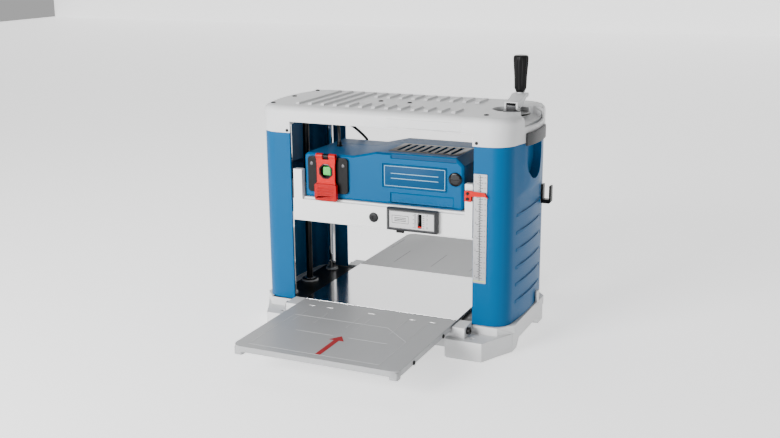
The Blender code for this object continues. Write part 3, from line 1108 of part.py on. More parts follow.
grip_spin = joint("grip_spin", (SCREW_X, CRANK_THROW, GRIP_BASE_Z), crank_fold)
attach(grip_spin, crank_grip)
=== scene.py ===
"""The looks of a benchtop thickness planer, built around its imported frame.

Metres, +Z up. The board goes in at -Y, and the crank stands at +X.
"""
import json
import math

import bpy
from mathutils import Matrix, Vector


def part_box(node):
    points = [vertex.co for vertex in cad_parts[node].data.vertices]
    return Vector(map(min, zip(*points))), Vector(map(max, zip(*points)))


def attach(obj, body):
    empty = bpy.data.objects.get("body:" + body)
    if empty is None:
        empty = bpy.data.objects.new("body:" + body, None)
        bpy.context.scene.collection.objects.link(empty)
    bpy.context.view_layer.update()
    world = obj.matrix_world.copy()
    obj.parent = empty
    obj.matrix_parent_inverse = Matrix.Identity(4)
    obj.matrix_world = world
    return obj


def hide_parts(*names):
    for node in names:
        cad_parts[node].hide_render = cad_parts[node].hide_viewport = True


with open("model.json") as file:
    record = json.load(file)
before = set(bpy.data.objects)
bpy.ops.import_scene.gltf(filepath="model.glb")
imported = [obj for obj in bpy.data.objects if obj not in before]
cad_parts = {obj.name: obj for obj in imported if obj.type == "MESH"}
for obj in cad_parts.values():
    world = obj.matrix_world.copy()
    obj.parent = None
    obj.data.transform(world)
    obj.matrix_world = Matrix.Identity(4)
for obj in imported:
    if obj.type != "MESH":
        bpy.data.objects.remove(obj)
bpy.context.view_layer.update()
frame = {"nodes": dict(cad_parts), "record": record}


# ---------------------------------------------------------------- base casting
# One aluminium casting, painted light grey. Its four feet and raised deck carry the columns and the bed.
# It is open underneath, and the mould has rounded every edge. The level deck faces beside the bed are
# coloured black.
def only(piece):
    """Select one piece and nothing else."""
    bpy.ops.object.select_all(action="DESELECT")
    piece.select_set(True)
    bpy.context.view_layer.objects.active = piece


def shader_group(name, inputs, outputs):
    """An empty shader node group with named sockets, and its two end nodes."""
    group = bpy.data.node_groups.new(name, "ShaderNodeTree")
    for label, kind, value in inputs:
        socket = group.interface.new_socket(name=label, in_out="INPUT", socket_type=kind)
        socket.default_value = value
    for label, kind in outputs:
        group.interface.new_socket(name=label, in_out="OUTPUT", socket_type=kind)
    return group, group.nodes.new("NodeGroupInput"), group.nodes.new("NodeGroupOutput")


def drift(group, noise, middle, spread):
    """A value that wanders round a middle by a spread, as a noise does round one half."""
    centred = group.nodes.new("ShaderNodeMath")
    centred.operation = "MULTIPLY_ADD"
    centred.inputs[1].default_value = 2.0
    centred.inputs[2].default_value = -1.0
    group.links.new(noise, centred.inputs[0])
    wander = group.nodes.new("ShaderNodeMath")
    wander.operation = "MULTIPLY_ADD"
    group.links.new(centred.outputs[0], wander.inputs[0])
    group.links.new(spread, wander.inputs[1])
    if isinstance(middle, float):
        wander.inputs[2].default_value = middle
    else:
        group.links.new(middle, wander.inputs[2])
    return wander.outputs[0]


def finish_group(name, stretched):
    """A skin whose tone and gloss drift, with a fine relief that may be drawn out along one way."""
    inputs = [("Colour", "NodeSocketColor", (0.5, 0.5, 0.5, 1.0)), ("Tone drift", "NodeSocketFloat", 0.05),
              ("Grain size", "NodeSocketFloat", 900.0), ("Grain depth", "NodeSocketFloat", 0.2),
              ("Dullness", "NodeSocketFloat", 0.5), ("Dullness drift", "NodeSocketFloat", 0.06)]
    if stretched:
        inputs.append(("Stretch", "NodeSocketVector", (1.0, 1.0, 1.0)))
    outputs = [("Colour", "NodeSocketColor"), ("Roughness", "NodeSocketFloat"),
               ("Normal", "NodeSocketVector")]
    group, given, out = shader_group(name, inputs, outputs)
    place = group.nodes.new("ShaderNodeTexCoord").outputs["Object"]
    if stretched:
        drawn = group.nodes.new("ShaderNodeMapping")
        group.links.new(place, drawn.inputs["Vector"])
        group.links.new(given.outputs["Stretch"], drawn.inputs["Scale"])
        place = drawn.outputs[0]
    broad = group.nodes.new("ShaderNodeTexNoise")
    broad.inputs["Scale"].default_value = 9.0
    broad.inputs["Detail"].default_value = 3.0
    grain = group.nodes.new("ShaderNodeTexNoise")
    grain.inputs["Detail"].default_value = 2.0
    group.links.new(place, broad.inputs["Vector"])
    group.links.new(place, grain.inputs["Vector"])
    group.links.new(given.outputs["Grain size"], grain.inputs["Scale"])
    toned = group.nodes.new("ShaderNodeVectorMath")
    toned.operation = "SCALE"
    group.links.new(given.outputs["Colour"], toned.inputs[0])
    tone_source = grain if stretched else broad
    tone = drift(group, tone_source.outputs["Fac"], 1.0, given.outputs["Tone drift"])
    group.links.new(tone, toned.inputs["Scale"])
    group.links.new(toned.outputs[0], out.inputs["Colour"])
    dull = drift(group, tone_source.outputs["Fac"], given.outputs["Dullness"],
                 given.outputs["Dullness drift"])
    group.links.new(dull, out.inputs["Roughness"])
    relief = group.nodes.new("ShaderNodeBump")
    relief.inputs["Distance"].default_value = 0.0002
    group.links.new(given.outputs["Grain depth"], relief.inputs["Strength"])
    group.links.new(grain.outputs["Fac"], relief.inputs["Height"])
    group.links.new(relief.outputs[0], out.inputs["Normal"])
    return group


moulded_skin = finish_group("moulded skin", False)
drawn_metal = finish_group("drawn metal", True)


def finish(name, group, colour, dullness, metallic=0.0, shine=0.3, **values):
    """A Principled material whose colour, roughness and normal come from a finish group."""
    material = bpy.data.materials.new(name)
    material.use_nodes = True
    nodes = material.node_tree.nodes
    shader = nodes["Principled BSDF"]
    shader.inputs["Metallic"].default_value = metallic
    shader.inputs["Specular IOR Level"].default_value = shine
    skin = nodes.new("ShaderNodeGroup")
    skin.node_tree = group
    skin.inputs["Colour"].default_value = (*colour, 1.0)
    skin.inputs["Dullness"].default_value = dullness
    for label, value in values.items():
        skin.inputs[label.replace("_", " ").capitalize()].default_value = value
    links = material.node_tree.links
    links.new(skin.outputs["Colour"], shader.inputs["Base Color"])
    links.new(skin.outputs["Roughness"], shader.inputs["Roughness"])
    links.new(skin.outputs["Normal"], shader.inputs["Normal"])
    return material


def body_of_node(node):
    """The moving body that the record puts a CAD node in."""
    for body, nodes in frame["record"]["behaviour"]["bodies"].items():
        if node in nodes:
            return body
    raise ValueError(node)


def skin_of(node, material, edge, angle=35, shape=None):
    """A finer copy of a CAD node in its place: merged, shaped further, its edges rounded."""
    mesh = frame["nodes"][node].data.copy()
    piece = bpy.data.objects.new(f"{node}_skin", mesh)
    bpy.context.collection.objects.link(piece)
    only(piece)
    bpy.ops.object.mode_set(mode="EDIT")
    bpy.ops.mesh.select_all(action="SELECT")
    bpy.ops.mesh.remove_doubles(threshold=0.00002)
    bpy.ops.mesh.customdata_custom_splitnormals_clear()
    bpy.ops.object.mode_set(mode="OBJECT")
    if shape:
        shape(piece)
    only(piece)
    bpy.ops.object.mode_set(mode="EDIT")
    bpy.ops.mesh.select_all(action="SELECT")
    bpy.ops.mesh.remove_doubles(threshold=0.00002)
    bpy.ops.object.mode_set(mode="OBJECT")
    rounding = piece.modifiers.new("rounding", "BEVEL")
    rounding.width = edge
    rounding.segments = 3
    rounding.limit_method = "ANGLE"
    rounding.angle_limit = math.radians(angle)
    rounding.use_clamp_overlap = False
    bpy.ops.object.modifier_apply(modifier="rounding")
    bpy.ops.object.shade_smooth()
    even = piece.modifiers.new("even", "WEIGHTED_NORMAL")
    even.weight = 90
    bpy.ops.object.modifier_apply(modifier="even")
    mesh.materials.clear()
    mesh.materials.append(material)
    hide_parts(node)
    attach(piece, body_of_node(node))
    return piece


def dress(material, *nodes):
    """Give CAD nodes a finish."""
    for node in nodes:
        mesh = frame["nodes"][node].data
        mesh.materials.clear()
        mesh.materials.append(material)


grey_paint = finish("light grey paint", moulded_skin, (0.60, 0.605, 0.61), 0.42, grain_depth=0.35,
                    grain_size=1400.0, tone_drift=0.03)
deck_black = finish("black deck faces", moulded_skin, (0.012, 0.012, 0.012), 0.32, grain_depth=0.3,
                    grain_size=1400.0)
DECK_TOP = 0.053
base = skin_of("base_casting", grey_paint, 0.0009)
# The level deck faces beside the bed are coloured black.
base.data.materials.append(deck_black)
for face in base.data.polygons:
    corners = [base.data.vertices[i].co for i in face.vertices]
    level = all(DECK_TOP - 0.001 < corner.z < DECK_TOP + 0.0015 for corner in corners)
    beside_bed = all(0.159 < abs(corner.x) < 0.245 and abs(corner.y) < 0.125 for corner in corners)
    face.material_index = 1 if level and beside_bed else 0


# ---------------------------------------------------------------- bed plate
# A polished stainless sheet screwed over the deck. The boards slide on it, so it shines along the feed.
polished_sheet = finish("polished stainless", drawn_metal, (0.78, 0.785, 0.79), 0.14, 1.0, grain_size=60.0,
                        stretch=(14.0, 0.6, 1.0), grain_depth=0.05, tone_drift=0.03, dullness_drift=0.04)
skin_of("bed_plate", polished_sheet, 0.0004)


# ---------------------------------------------------------------- folding tables
# Two cast tables on hinge rods, painted mid grey. The front one has a fine ruled frame, raised wear strips by
# the hinge and a red arrow for the feed. Black bolts stop each table.
def rounded_bar(low, high, edge, segments=2):
    """A box between two corners with all its edges rounded."""
    bpy.ops.object.select_all(action="DESELECT")
    bpy.ops.mesh.primitive_cube_add(size=1, location=(Vector(low) + Vector(high)) / 2)
    bar = bpy.context.object
    bar.scale = Vector(high) - Vector(low)
    bpy.ops.object.transform_apply(location=True, rotation=True, scale=True)
    bpy.ops.object.mode_set(mode="EDIT")
    bpy.ops.mesh.select_all(action="SELECT")
    bpy.ops.mesh.bevel(offset=edge, segments=segments, affect="EDGES")
    bpy.ops.object.mode_set(mode="OBJECT")
    return bar


def turned_piece(profile, sides=32):
    """A solid drawn up from a disc: each step of the profile is a radius and a height."""
    radius, height = profile[0]
    bpy.ops.object.select_all(action="DESELECT")
    bpy.ops.mesh.primitive_circle_add(vertices=sides, radius=radius, fill_type="NGON",
                                      location=(0, 0, height))
    piece = bpy.context.object
    bpy.ops.object.transform_apply(location=True, rotation=True, scale=True)
    bpy.ops.object.mode_set(mode="EDIT")
    bpy.ops.mesh.select_all(action="SELECT")
    for next_radius, next_height in profile[1:]:
        bpy.ops.mesh.extrude_region_move(TRANSFORM_OT_translate={"value": (0, 0, next_height - height)})
        grow = next_radius / radius
        bpy.ops.transform.resize(value=(grow, grow, 1), center_override=(0, 0, next_height))
        radius, height = next_radius, next_height
    bpy.ops.mesh.select_all(action="SELECT")
    bpy.ops.mesh.normals_make_consistent(inside=False)
    bpy.ops.object.mode_set(mode="OBJECT")
    return piece


def gathered(name, pieces):
    """Several pieces made one mesh under one name."""
    bpy.ops.object.select_all(action="DESELECT")
    for piece in pieces:
        piece.select_set(True)
    bpy.context.view_layer.objects.active = pieces[0]
    bpy.ops.object.join()
    whole = bpy.context.object
    whole.name = name
    whole.data.name = name
    return whole


def fitted(piece, name, body, material, smooth=35):
    """Apply a modelled piece's place, give it its finish and let it ride with a body."""
    only(piece)
    bpy.ops.object.transform_apply(location=True, rotation=True, scale=True)
    bpy.ops.object.shade_smooth_by_angle(angle=math.radians(smooth))
    piece.name = name
    piece.data.name = name
    piece.data.materials.clear()
    piece.data.materials.append(material)
    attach(piece, body)
    return piece


def copies(master, name, places, turn=None):
    """Copies of one modelled piece, each with its own mesh, joined where they stand."""
    twins = []
    for place in places:
        mesh = master.data.copy()
        if turn:
            mesh.transform(turn)
        mesh.transform(Matrix.Translation(place))
        twin = bpy.data.objects.new(name, mesh)
        bpy.context.collection.objects.link(twin)
        twins.append(twin)
    return gathered(name, twins)


def cut_by(piece, tool):
    """Cut one solid out of another and throw the tool away."""
    only(piece)
    cut = piece.modifiers.new("cut", "BOOLEAN")
    cut.operation = "DIFFERENCE"
    cut.solver = "MANIFOLD"
    cut.object = tool
    bpy.ops.object.modifier_apply(modifier="cut")
    bpy.data.objects.remove(tool, do_unlink=True)


TO_FRONT = Matrix.Rotation(math.radians(90), 4, "X")
TO_RIGHT = Matrix.Rotation(math.radians(90), 4, "Y")
TO_LEFT = Matrix.Rotation(math.radians(-90), 4, "Y")

table_paint = finish("mid grey paint", moulded_skin, (0.315, 0.32, 0.325), 0.36, grain_depth=0.22,
                     grain_size=1700.0, tone_drift=0.05)
bright_edge = finish("machined edge", drawn_metal, (0.62, 0.62, 0.62), 0.34, 0.6, grain_size=120.0,
                     stretch=(1.0, 8.0, 8.0), tone_drift=0.06)
ruled_line = finish("ruled line", moulded_skin, (0.50, 0.505, 0.51), 0.36, grain_size=1500.0)
black_bolt = finish("black oxide bolt", moulded_skin, (0.008, 0.008, 0.009), 0.34, 0.4, grain_depth=0.15)
for table in ("infeed_table", "outfeed_table"):
    skin_of(table, table_paint, 0.0007)
TABLE_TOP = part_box("infeed_table")[1].z
FRAME_LEFT = -0.136
FRAME_RIGHT = 0.119
FRAME_FRONT = -0.385
FRAME_BACK = -0.218
CORNER_X = 0.060
CORNER_Y = FRAME_BACK - 0.053
MIDDLE_LINE = -0.292
RULE_WIDTH = 0.0009
RULE_PROUD = 0.00025


def ruled(x0, y0, x1, y1):
    """A hair-fine raised line on the table between two places."""
    reach = math.hypot(x1 - x0, y1 - y0)
    line = rounded_bar((0, -RULE_WIDTH / 2, TABLE_TOP - 0.0003),
                       (reach, RULE_WIDTH / 2, TABLE_TOP + RULE_PROUD), 0.0001, 1)
    line.data.transform(Matrix.Rotation(math.atan2(y1 - y0, x1 - x0), 4, "Z"))
    line.data.transform(Matrix.Translation((x0, y0, 0)))
    return line


frame_lines = [
    ruled(FRAME_LEFT, FRAME_FRONT, FRAME_RIGHT, FRAME_FRONT),
    ruled(FRAME_LEFT, FRAME_FRONT, FRAME_LEFT, FRAME_BACK),
    ruled(FRAME_RIGHT, FRAME_FRONT, FRAME_RIGHT, CORNER_Y),
    ruled(FRAME_LEFT, FRAME_BACK, CORNER_X, FRAME_BACK),
    ruled(CORNER_X, FRAME_BACK, FRAME_RIGHT, CORNER_Y),
    ruled(-0.092, MIDDLE_LINE, -0.016, MIDDLE_LINE),
    ruled(0.016, MIDDLE_LINE, 0.092, MIDDLE_LINE),
]
for x in (-0.123, -0.079, -0.012, 0.010, 0.076, 0.120):
    frame_lines.append(ruled(x, -0.246, x, -0.188 if x < 0.05 else -0.168))
ruled_frame = gathered("infeed_ruled_frame", frame_lines)
fitted(ruled_frame, "infeed_ruled_frame", "infeed_table", ruled_line)
strip = rounded_bar((-0.007, -0.0016, 0.0), (0.007, 0.0016, 0.0011), 0.0005)
strip_places = [(x, -0.160, TABLE_TOP - 0.0003) for x in (-0.128, -0.089, 0.0, 0.086, 0.126)]
strips = copies(strip, "infeed_wear_strips", strip_places)
bpy.data.objects.remove(strip, do_unlink=True)
fitted(strips, "infeed_wear_strips", "infeed_table", bright_edge)
dark_line = finish("dark scored line", moulded_skin, (0.055, 0.055, 0.057), 0.45, grain_size=1500.0)
scored = [ruled(x, 0.166, x, 0.262) for x in (-0.099, -0.010, 0.079)]
scored.append(ruled(-0.150, 0.270, -0.150, 0.345))
scored_lines = gathered("outfeed_scored_lines", scored)
fitted(scored_lines, "outfeed_scored_lines", "outfeed_table", dark_line)

arrow_red = finish("arrow red", moulded_skin, (0.30, 0.002, 0.006), 0.45, grain_size=900.0, tone_drift=0.06)
ARROW_X = 0.001
ARROW_NECK = -0.312
ARROW_POINT = ARROW_NECK + 0.022
bpy.ops.object.select_all(action="DESELECT")
bpy.ops.mesh.primitive_plane_add(size=1, location=(ARROW_X, -0.348, TABLE_TOP + 0.00005))
arrow = bpy.context.object
arrow.scale = (0.010, 0.072, 1)
bpy.ops.object.transform_apply(location=True, rotation=True, scale=True)


def select_edges(piece, wanted):
    """Select the edges whose middle answers a question, in edit mode."""
    bpy.ops.object.mode_set(mode="EDIT")
    bpy.ops.mesh.select_mode(type="EDGE")
    bpy.ops.mesh.select_all(action="DESELECT")
    bpy.ops.object.mode_set(mode="OBJECT")
    for edge in piece.data.edges:
        first, second = (piece.data.vertices[i].co for i in edge.vertices)
        edge.select = wanted((first + second) / 2)
    bpy.ops.object.mode_set(mode="EDIT")


select_edges(arrow, lambda middle: middle.y > ARROW_NECK - 0.001)
bpy.ops.mesh.extrude_edges_move(TRANSFORM_OT_translate={"value": (0, 0, 0)})
bpy.ops.transform.resize(value=(3, 1, 1), center_override=(ARROW_X, ARROW_NECK, 0))
bpy.ops.mesh.extrude_edges_move(TRANSFORM_OT_translate={"value": (0, ARROW_POINT - ARROW_NECK, 0)})
bpy.ops.transform.resize(value=(0.02, 1, 1), center_override=(ARROW_X, ARROW_POINT, 0))
bpy.ops.mesh.select_all(action="SELECT")
bpy.ops.mesh.extrude_region_move(TRANSFORM_OT_translate={"value": (0, 0, 0.0002)})
bpy.ops.mesh.select_all(action="SELECT")
bpy.ops.mesh.normals_make_consistent(inside=False)
bpy.ops.object.mode_set(mode="OBJECT")
fitted(arrow, "feed_arrow", "infeed_table", arrow_red)

dome = turned_piece([(0.0042, 0.0), (0.0042, 0.0012), (0.0036, 0.0022), (0.0022, 0.0028)], 20)
cut_by(dome, turned_piece([(0.0017, 0.0014), (0.0017, 0.0040)], 6))
BOLT_Z = 0.0525
SUNK = 0.0002
side_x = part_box("infeed_table")[1].x
for table, sign in (("infeed_table", 1), ("outfeed_table", -1)):
    bolt_rows = [sign * y for y in (-0.337, -0.200)]
    right = copies(dome, "right_bolts", [(side_x - SUNK, y, BOLT_Z) for y in bolt_rows], TO_RIGHT)
    left = copies(dome, "left_bolts", [(SUNK - side_x, y, BOLT_Z) for y in bolt_rows], TO_LEFT)
    fitted(gathered(f"{table}_bolts", [right, left]), f"{table}_bolts", table, black_bolt)
bpy.data.objects.remove(dome, do_unlink=True)


# ---------------------------------------------------------------- hinge rods
# A black bolt runs through both lugs of each table. Its round head is turned and has a hexagon socket.
black_steel = finish("black steel", drawn_metal, (0.022, 0.022, 0.023), 0.30, 0.7, grain_size=90.0,
                     stretch=(6.0, 6.0, 1.0), grain_depth=0.15, dullness_drift=0.08)
hinge_head = turned_piece([(0.0070, 0.0), (0.0070, 0.0010), (0.0062, 0.0018)], 24)
cut_by(hinge_head, turned_piece([(0.0030, 0.0006), (0.0030, 0.0030)], 6))
for rod in ("infeed_hinge_rod", "outfeed_hinge_rod"):
    dress(black_steel, rod)
    low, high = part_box(rod)
    middle = (low + high) / 2
    right = copies(hinge_head, "right_head", [(high.x - SUNK, middle.y, middle.z)], TO_RIGHT)
    left = copies(hinge_head, "left_head", [(low.x + SUNK, middle.y, middle.z)], TO_LEFT)
    fitted(gathered(f"{rod}_heads", [right, left]), f"{rod}_heads", "frame", black_bolt)
bpy.data.objects.remove(hinge_head, do_unlink=True)


# ---------------------------------------------------------------- guide columns
# Four ground and chromed bars pressed into the base. The head slides on them.
chrome = finish("chrome", drawn_metal, (0.83, 0.835, 0.84), 0.07, 1.0, grain_size=40.0,
                stretch=(2.0, 2.0, 9.0), grain_depth=0.02, dullness_drift=0.02, tone_drift=0.02)
COLUMNS = [f"guide_column_{end}_{side}" for end in ("front", "rear") for side in ("left", "right")]
dress(chrome, *COLUMNS)


# ---------------------------------------------------------------- lead screws, sprockets and chain
# Two black steel screws with sixteen threads to the inch lift the head. They stand in the base, where a
# black collar and a bright hexagon nut hold each one, and a roller chain below the deck joins them.
PITCH = 0.0015875
THREAD_LOW = 0.062
THREAD_HIGH = 0.428
THREAD_SIDES = 12
RIDGE = 0.00048
bright_nut = finish("zinc plated nut", drawn_metal, (0.66, 0.67, 0.68), 0.28, 1.0, grain_size=70.0,
                    stretch=(3.0, 3.0, 1.0))
dress(black_steel, "lead_screw_left", "lead_screw_right", "sprocket_left", "sprocket_right", "lift_chain")
for side in ("left", "right"):
    low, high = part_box(f"lead_screw_{side}")
    screw_x = (low.x + high.x) / 2
    screw_radius = (high.x - low.x) / 2
    bpy.ops.object.select_all(action="DESELECT")
    bpy.ops.mesh.primitive_circle_add(vertices=3, radius=RIDGE, rotation=(math.radians(90), 0, 0),
                                      location=(screw_radius - SUNK, 0, THREAD_LOW))
    thread = bpy.context.object
    bpy.ops.object.transform_apply(location=True, rotation=True, scale=True)
    winding = thread.modifiers.new("winding", "SCREW")
    winding.axis = "Z"
    winding.screw_offset = PITCH
    winding.iterations = int((THREAD_HIGH - THREAD_LOW) / PITCH)
    winding.steps = THREAD_SIDES
    winding.render_steps = THREAD_SIDES
    bpy.ops.object.modifier_apply(modifier="winding")
    bpy.ops.object.mode_set(mode="EDIT")
    bpy.ops.mesh.select_all(action="DESELECT")
    bpy.ops.mesh.select_non_manifold(extend=False)
    bpy.ops.mesh.edge_face_add()
    bpy.ops.mesh.select_all(action="SELECT")
    bpy.ops.mesh.normals_make_consistent(inside=False)
    bpy.ops.object.mode_set(mode="OBJECT")
    thread.location.x = screw_x
    fitted(thread, f"thread_{side}", f"screw_{side}", black_steel)
    collar = turned_piece([(0.0165, 0.0566), (0.0165, 0.0584), (0.0155, 0.0590)], 28)
    cut_by(collar, turned_piece([(0.0076, 0.050), (0.0076, 0.070)], 20))
    collar.location.x = screw_x
    fitted(collar, f"screw_collar_{side}", "frame", black_steel)
    nut = turned_piece([(0.0112, 0.0588), (0.0112, 0.0598), (0.0104, 0.0602)], 6)
    cut_by(nut, turned_piece([(0.0074, 0.050), (0.0074, 0.070)], 20))
    nut.location.x = screw_x
    fitted(nut, f"screw_nut_{side}", "frame", bright_nut)


# ---------------------------------------------------------------- column covers
# Two blue moulded covers wrap the columns and screws. Each has six ribs down its bowed side and a scoop
# under the handle for the fingers. Their mould leaves a fine satin texture.
blue_plastic = finish("blue moulded plastic", moulded_skin, (0.001, 0.078, 0.200), 0.38, shine=0.08,
                      grain_depth=0.25, grain_size=2200.0, tone_drift=0.05, dullness_drift=0.04)
for side in ("left", "right"):
    skin_of(f"column_cover_{side}", blue_plastic, 0.0008)


# ---------------------------------------------------------------- cord hook
# A black moulded hook screwed to the right cover, for a few turns of the mains cord.
black_plastic = finish("black moulded plastic", moulded_skin, (0.004, 0.004, 0.0042), 0.32, shine=0.14,
                       grain_depth=0.3, grain_size=2000.0, dullness_drift=0.07)
skin_of("cord_hook", black_plastic, 0.0008)


# ---------------------------------------------------------------- top cap
# A second painted casting ties the tops of the columns. Ribs stiffen its roof, its front has a shallow
# panel, and black socket screws run down into the columns, the screws and the covers.
def panel_in_front(piece):
    """Sink the shallow panel with a sloping left end into the cap's front."""
    bpy.ops.object.select_all(action="DESELECT")
    bpy.ops.mesh.primitive_cube_add(size=1, location=(0.0925, -0.1286, 0.4245))
    tool = bpy.context.object
    tool.scale = (0.145, 0.010, 0.016)
    bpy.ops.object.transform_apply(location=True, rotation=True, scale=True)
    for vertex in tool.data.vertices:
        if vertex.co.x < 0.05 and vertex.co.y < -0.1286:
            vertex.co.x -= 0.060
    cut_by(piece, tool)


skin_of("top_cap", grey_paint, 0.0010, shape=panel_in_front)
CAP_ROOF = 0.444
cap_screw = turned_piece([(0.0046, 0.0), (0.0046, 0.0014), (0.0040, 0.0021)], 24)
cut_by(cap_screw, turned_piece([(0.0021, 0.0008), (0.0021, 0.0040)], 6))
roof_places = [(x, y, CAP_ROOF - SUNK) for x, y in (
    (-0.240, -0.093), (-0.244, 0.0), (-0.240, 0.093), (0.200, -0.088), (0.200, 0.098), (-0.050, 0.0),
    (0.012, 0.0))]
fitted(copies(cap_screw, "cap_screws", roof_places), "cap_screws", "frame", black_bolt)
small_screw = turned_piece([(0.0031, 0.0), (0.0031, 0.0008), (0.0025, 0.0016)], 20)
cut_by(small_screw, rounded_bar((-0.0019, -0.0004, 0.0008), (0.0019, 0.0004, 0.003), 0.0001, 1))
cut_by(small_screw, rounded_bar((-0.0004, -0.0019, 0.0008), (0.0004, 0.0019, 0.003), 0.0001, 1))
front_places = [(-0.193, -0.1248, 0.397), (0.195, -0.1248, 0.3985)]
front_screws = copies(small_screw, "cap_front_screws", front_places, TO_FRONT)
fitted(front_screws, "cap_front_screws", "frame", black_bolt)


# ---------------------------------------------------------------- carry handles
# A dark grey moulded grip is screwed along each end of the cap, over the scoop.
handle_grey = finish("dark grey plastic", moulded_skin, (0.030, 0.031, 0.033), 0.42, grain_depth=0.4,
                     grain_size=1800.0)
for side in ("left", "right"):
    skin_of(f"carry_handle_{side}", handle_grey, 0.0012)


# ---------------------------------------------------------------- depth scale
# A thin aluminium strip stuck on the right cover. Inches are printed up its left half and centimetres up
# its right half, either side of a black line.
brushed_strip = finish("brushed aluminium strip", drawn_metal, (0.33, 0.33, 0.34), 0.36, 0.85,
                       grain_size=50.0, stretch=(40.0, 1.0, 1.5), grain_depth=0.12)
black_print = finish("black print", moulded_skin, (0.02, 0.02, 0.02), 0.5, grain_size=1200.0)
yellow_print = finish("yellow print", moulded_skin, (0.52, 0.60, 0.04), 0.5, grain_size=1200.0)
dress(brushed_strip, "depth_scale")
scale_low, scale_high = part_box("depth_scale")
SCALE_FACE = scale_low.y
SCALE_MIDDLE = 0.2027
SCALE_ZERO = 0.1461
INK = 0.00012


def printed(x0, x1, z0, z1, face):
    """A flat printed mark on an upright face that looks to the front."""
    return rounded_bar((x0, face - INK, z0), (x1, face + INK, z1), 0.00005, 1)


def printed_number(text, x, z, height, face):
    """A printed number, centred on a place, on a face that looks to the front."""
    bpy.ops.object.select_all(action="DESELECT")
    bpy.ops.object.text_add(location=(0, 0, 0))
    number = bpy.context.object
    number.data.body = text
    number.data.size = height
    number.data.align_x = "CENTER"
    number.data.align_y = "CENTER"
    number.data.extrude = INK
    number.data.resolution_u = 2
    bpy.ops.object.convert(target="MESH")
    number.rotation_euler = (math.radians(90), 0, 0)
    number.location = (x, face, z)
    bpy.ops.object.transform_apply(location=True, rotation=True, scale=True)
    return number


EIGHTH_INCH = 0.003175
HALF_CENTIMETRE = 0.005
SCALE_END = scale_high.z - 0.002
marks = [printed(SCALE_MIDDLE - 0.0006, SCALE_MIDDLE + 0.0006, SCALE_ZERO - 0.006, SCALE_END, SCALE_FACE)]
for eighth in range(int((SCALE_END - SCALE_ZERO) / EIGHTH_INCH) + 1):
    z = SCALE_ZERO + eighth * EIGHTH_INCH
    reach = 0.0068 if eighth % 8 == 0 else 0.0048 if eighth % 4 == 0 else 0.0030
    marks.append(printed(SCALE_MIDDLE - reach, SCALE_MIDDLE, z - 0.0005, z + 0.0005, SCALE_FACE))
    if eighth % 8 == 0:
        inch = str(eighth // 8)
        marks.append(printed_number(inch, SCALE_MIDDLE - 0.0088, z + 0.0026, 0.0048, SCALE_FACE))
for half in range(int((SCALE_END - 0.001 - SCALE_ZERO) / HALF_CENTIMETRE) + 1):
    z = SCALE_ZERO + half * HALF_CENTIMETRE
    reach = 0.0055 if half % 2 == 0 else 0.0032
    marks.append(printed(SCALE_MIDDLE, SCALE_MIDDLE + reach, z - 0.0005, z + 0.0005, SCALE_FACE))
    if half % 2 == 0 and half:
        marks.append(printed_number(str(half // 2), SCALE_MIDDLE + 0.0092, z, 0.0040, SCALE_FACE))
fitted(gathered("depth_scale_print", marks), "depth_scale_print", "frame", black_print)
foot_line = printed(scale_low.x + 0.001, scale_high.x - 0.001, 0.1392, 0.1404, SCALE_FACE)
fitted(foot_line, "depth_scale_line", "frame", yellow_print)


# ---------------------------------------------------------------- index dial and crank
# A black dial with white divisions turns on the right screw. Over it a grey cast arm folds on a cross pin,
# and carries a fluted black grip that turns on its bolt.
white_print = finish("white print", moulded_skin, (0.70, 0.70, 0.70), 0.5, grain_size=1200.0)
skin_of("index_dial", black_plastic, 0.0006)
dial_low, dial_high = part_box("index_dial")
dial_x = (dial_low.x + dial_high.x) / 2
dial_radius = (dial_high.x - dial_low.x) / 2
DIVISIONS = 32
division = rounded_bar((dial_radius - 0.0062, -0.00022, -INK), (dial_radius - 0.0018, 0.00022, INK),
                       0.00004, 1)
divisions = []
for i in range(DIVISIONS):
    mesh = division.data.copy()
    mesh.transform(Matrix.Rotation(2 * math.pi * i / DIVISIONS, 4, "Z"))
    mesh.transform(Matrix.Translation((dial_x, 0, dial_high.z)))
    mark = bpy.data.objects.new("division", mesh)
    bpy.context.collection.objects.link(mark)
    divisions.append(mark)
bpy.data.objects.remove(division, do_unlink=True)
fitted(gathered("dial_divisions", divisions), "dial_divisions", "screw_right", white_print)
skin_of("crank_hub", black_steel, 0.0006)
skin_of("crank_arm", grey_paint, 0.0007)
dress(bright_nut, "crank_pin")
grip_low, grip_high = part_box("crank_grip")
grip_x = (grip_low.x + grip_high.x) / 2
grip_y = (grip_low.y + grip_high.y) / 2
GRIP_STEPS = [(0.0088, 0.0), (0.0091, 0.0030), (0.0108, 0.0052), (0.0114, 0.0075), (0.0117, 0.0150),
              (0.0122, 0.0300), (0.0134, 0.0450), (0.0143, 0.0580), (0.0145, 0.0640), (0.0141, 0.0670),
              (0.0126, 0.0690), (0.0090, 0.0697)]
grip = turned_piece(GRIP_STEPS, 56)
FLUTE_FROM = 0.0070
FLUTE_TO = 0.0655
bpy.ops.object.mode_set(mode="EDIT")
bpy.ops.mesh.select_mode(type="VERT")
bpy.ops.mesh.select_all(action="DESELECT")
bpy.ops.object.mode_set(mode="OBJECT")
for vertex in grip.data.vertices:
    around = round(math.atan2(vertex.co.y, vertex.co.x) / (2 * math.pi) * 56) % 4
    vertex.select = FLUTE_FROM < vertex.co.z < FLUTE_TO and around in (1, 2)
bpy.ops.object.mode_set(mode="EDIT")
bpy.ops.transform.resize(value=(0.93, 0.93, 1), center_override=(0, 0, 0))
bpy.ops.object.mode_set(mode="OBJECT")
cut_by(grip, turned_piece([(0.0044, -0.005), (0.0044, 0.060)], 20))
grip.location = (grip_x, grip_y, grip_low.z)
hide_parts("crank_grip")
fitted(grip, "fluted_grip", "crank_grip", black_plastic)


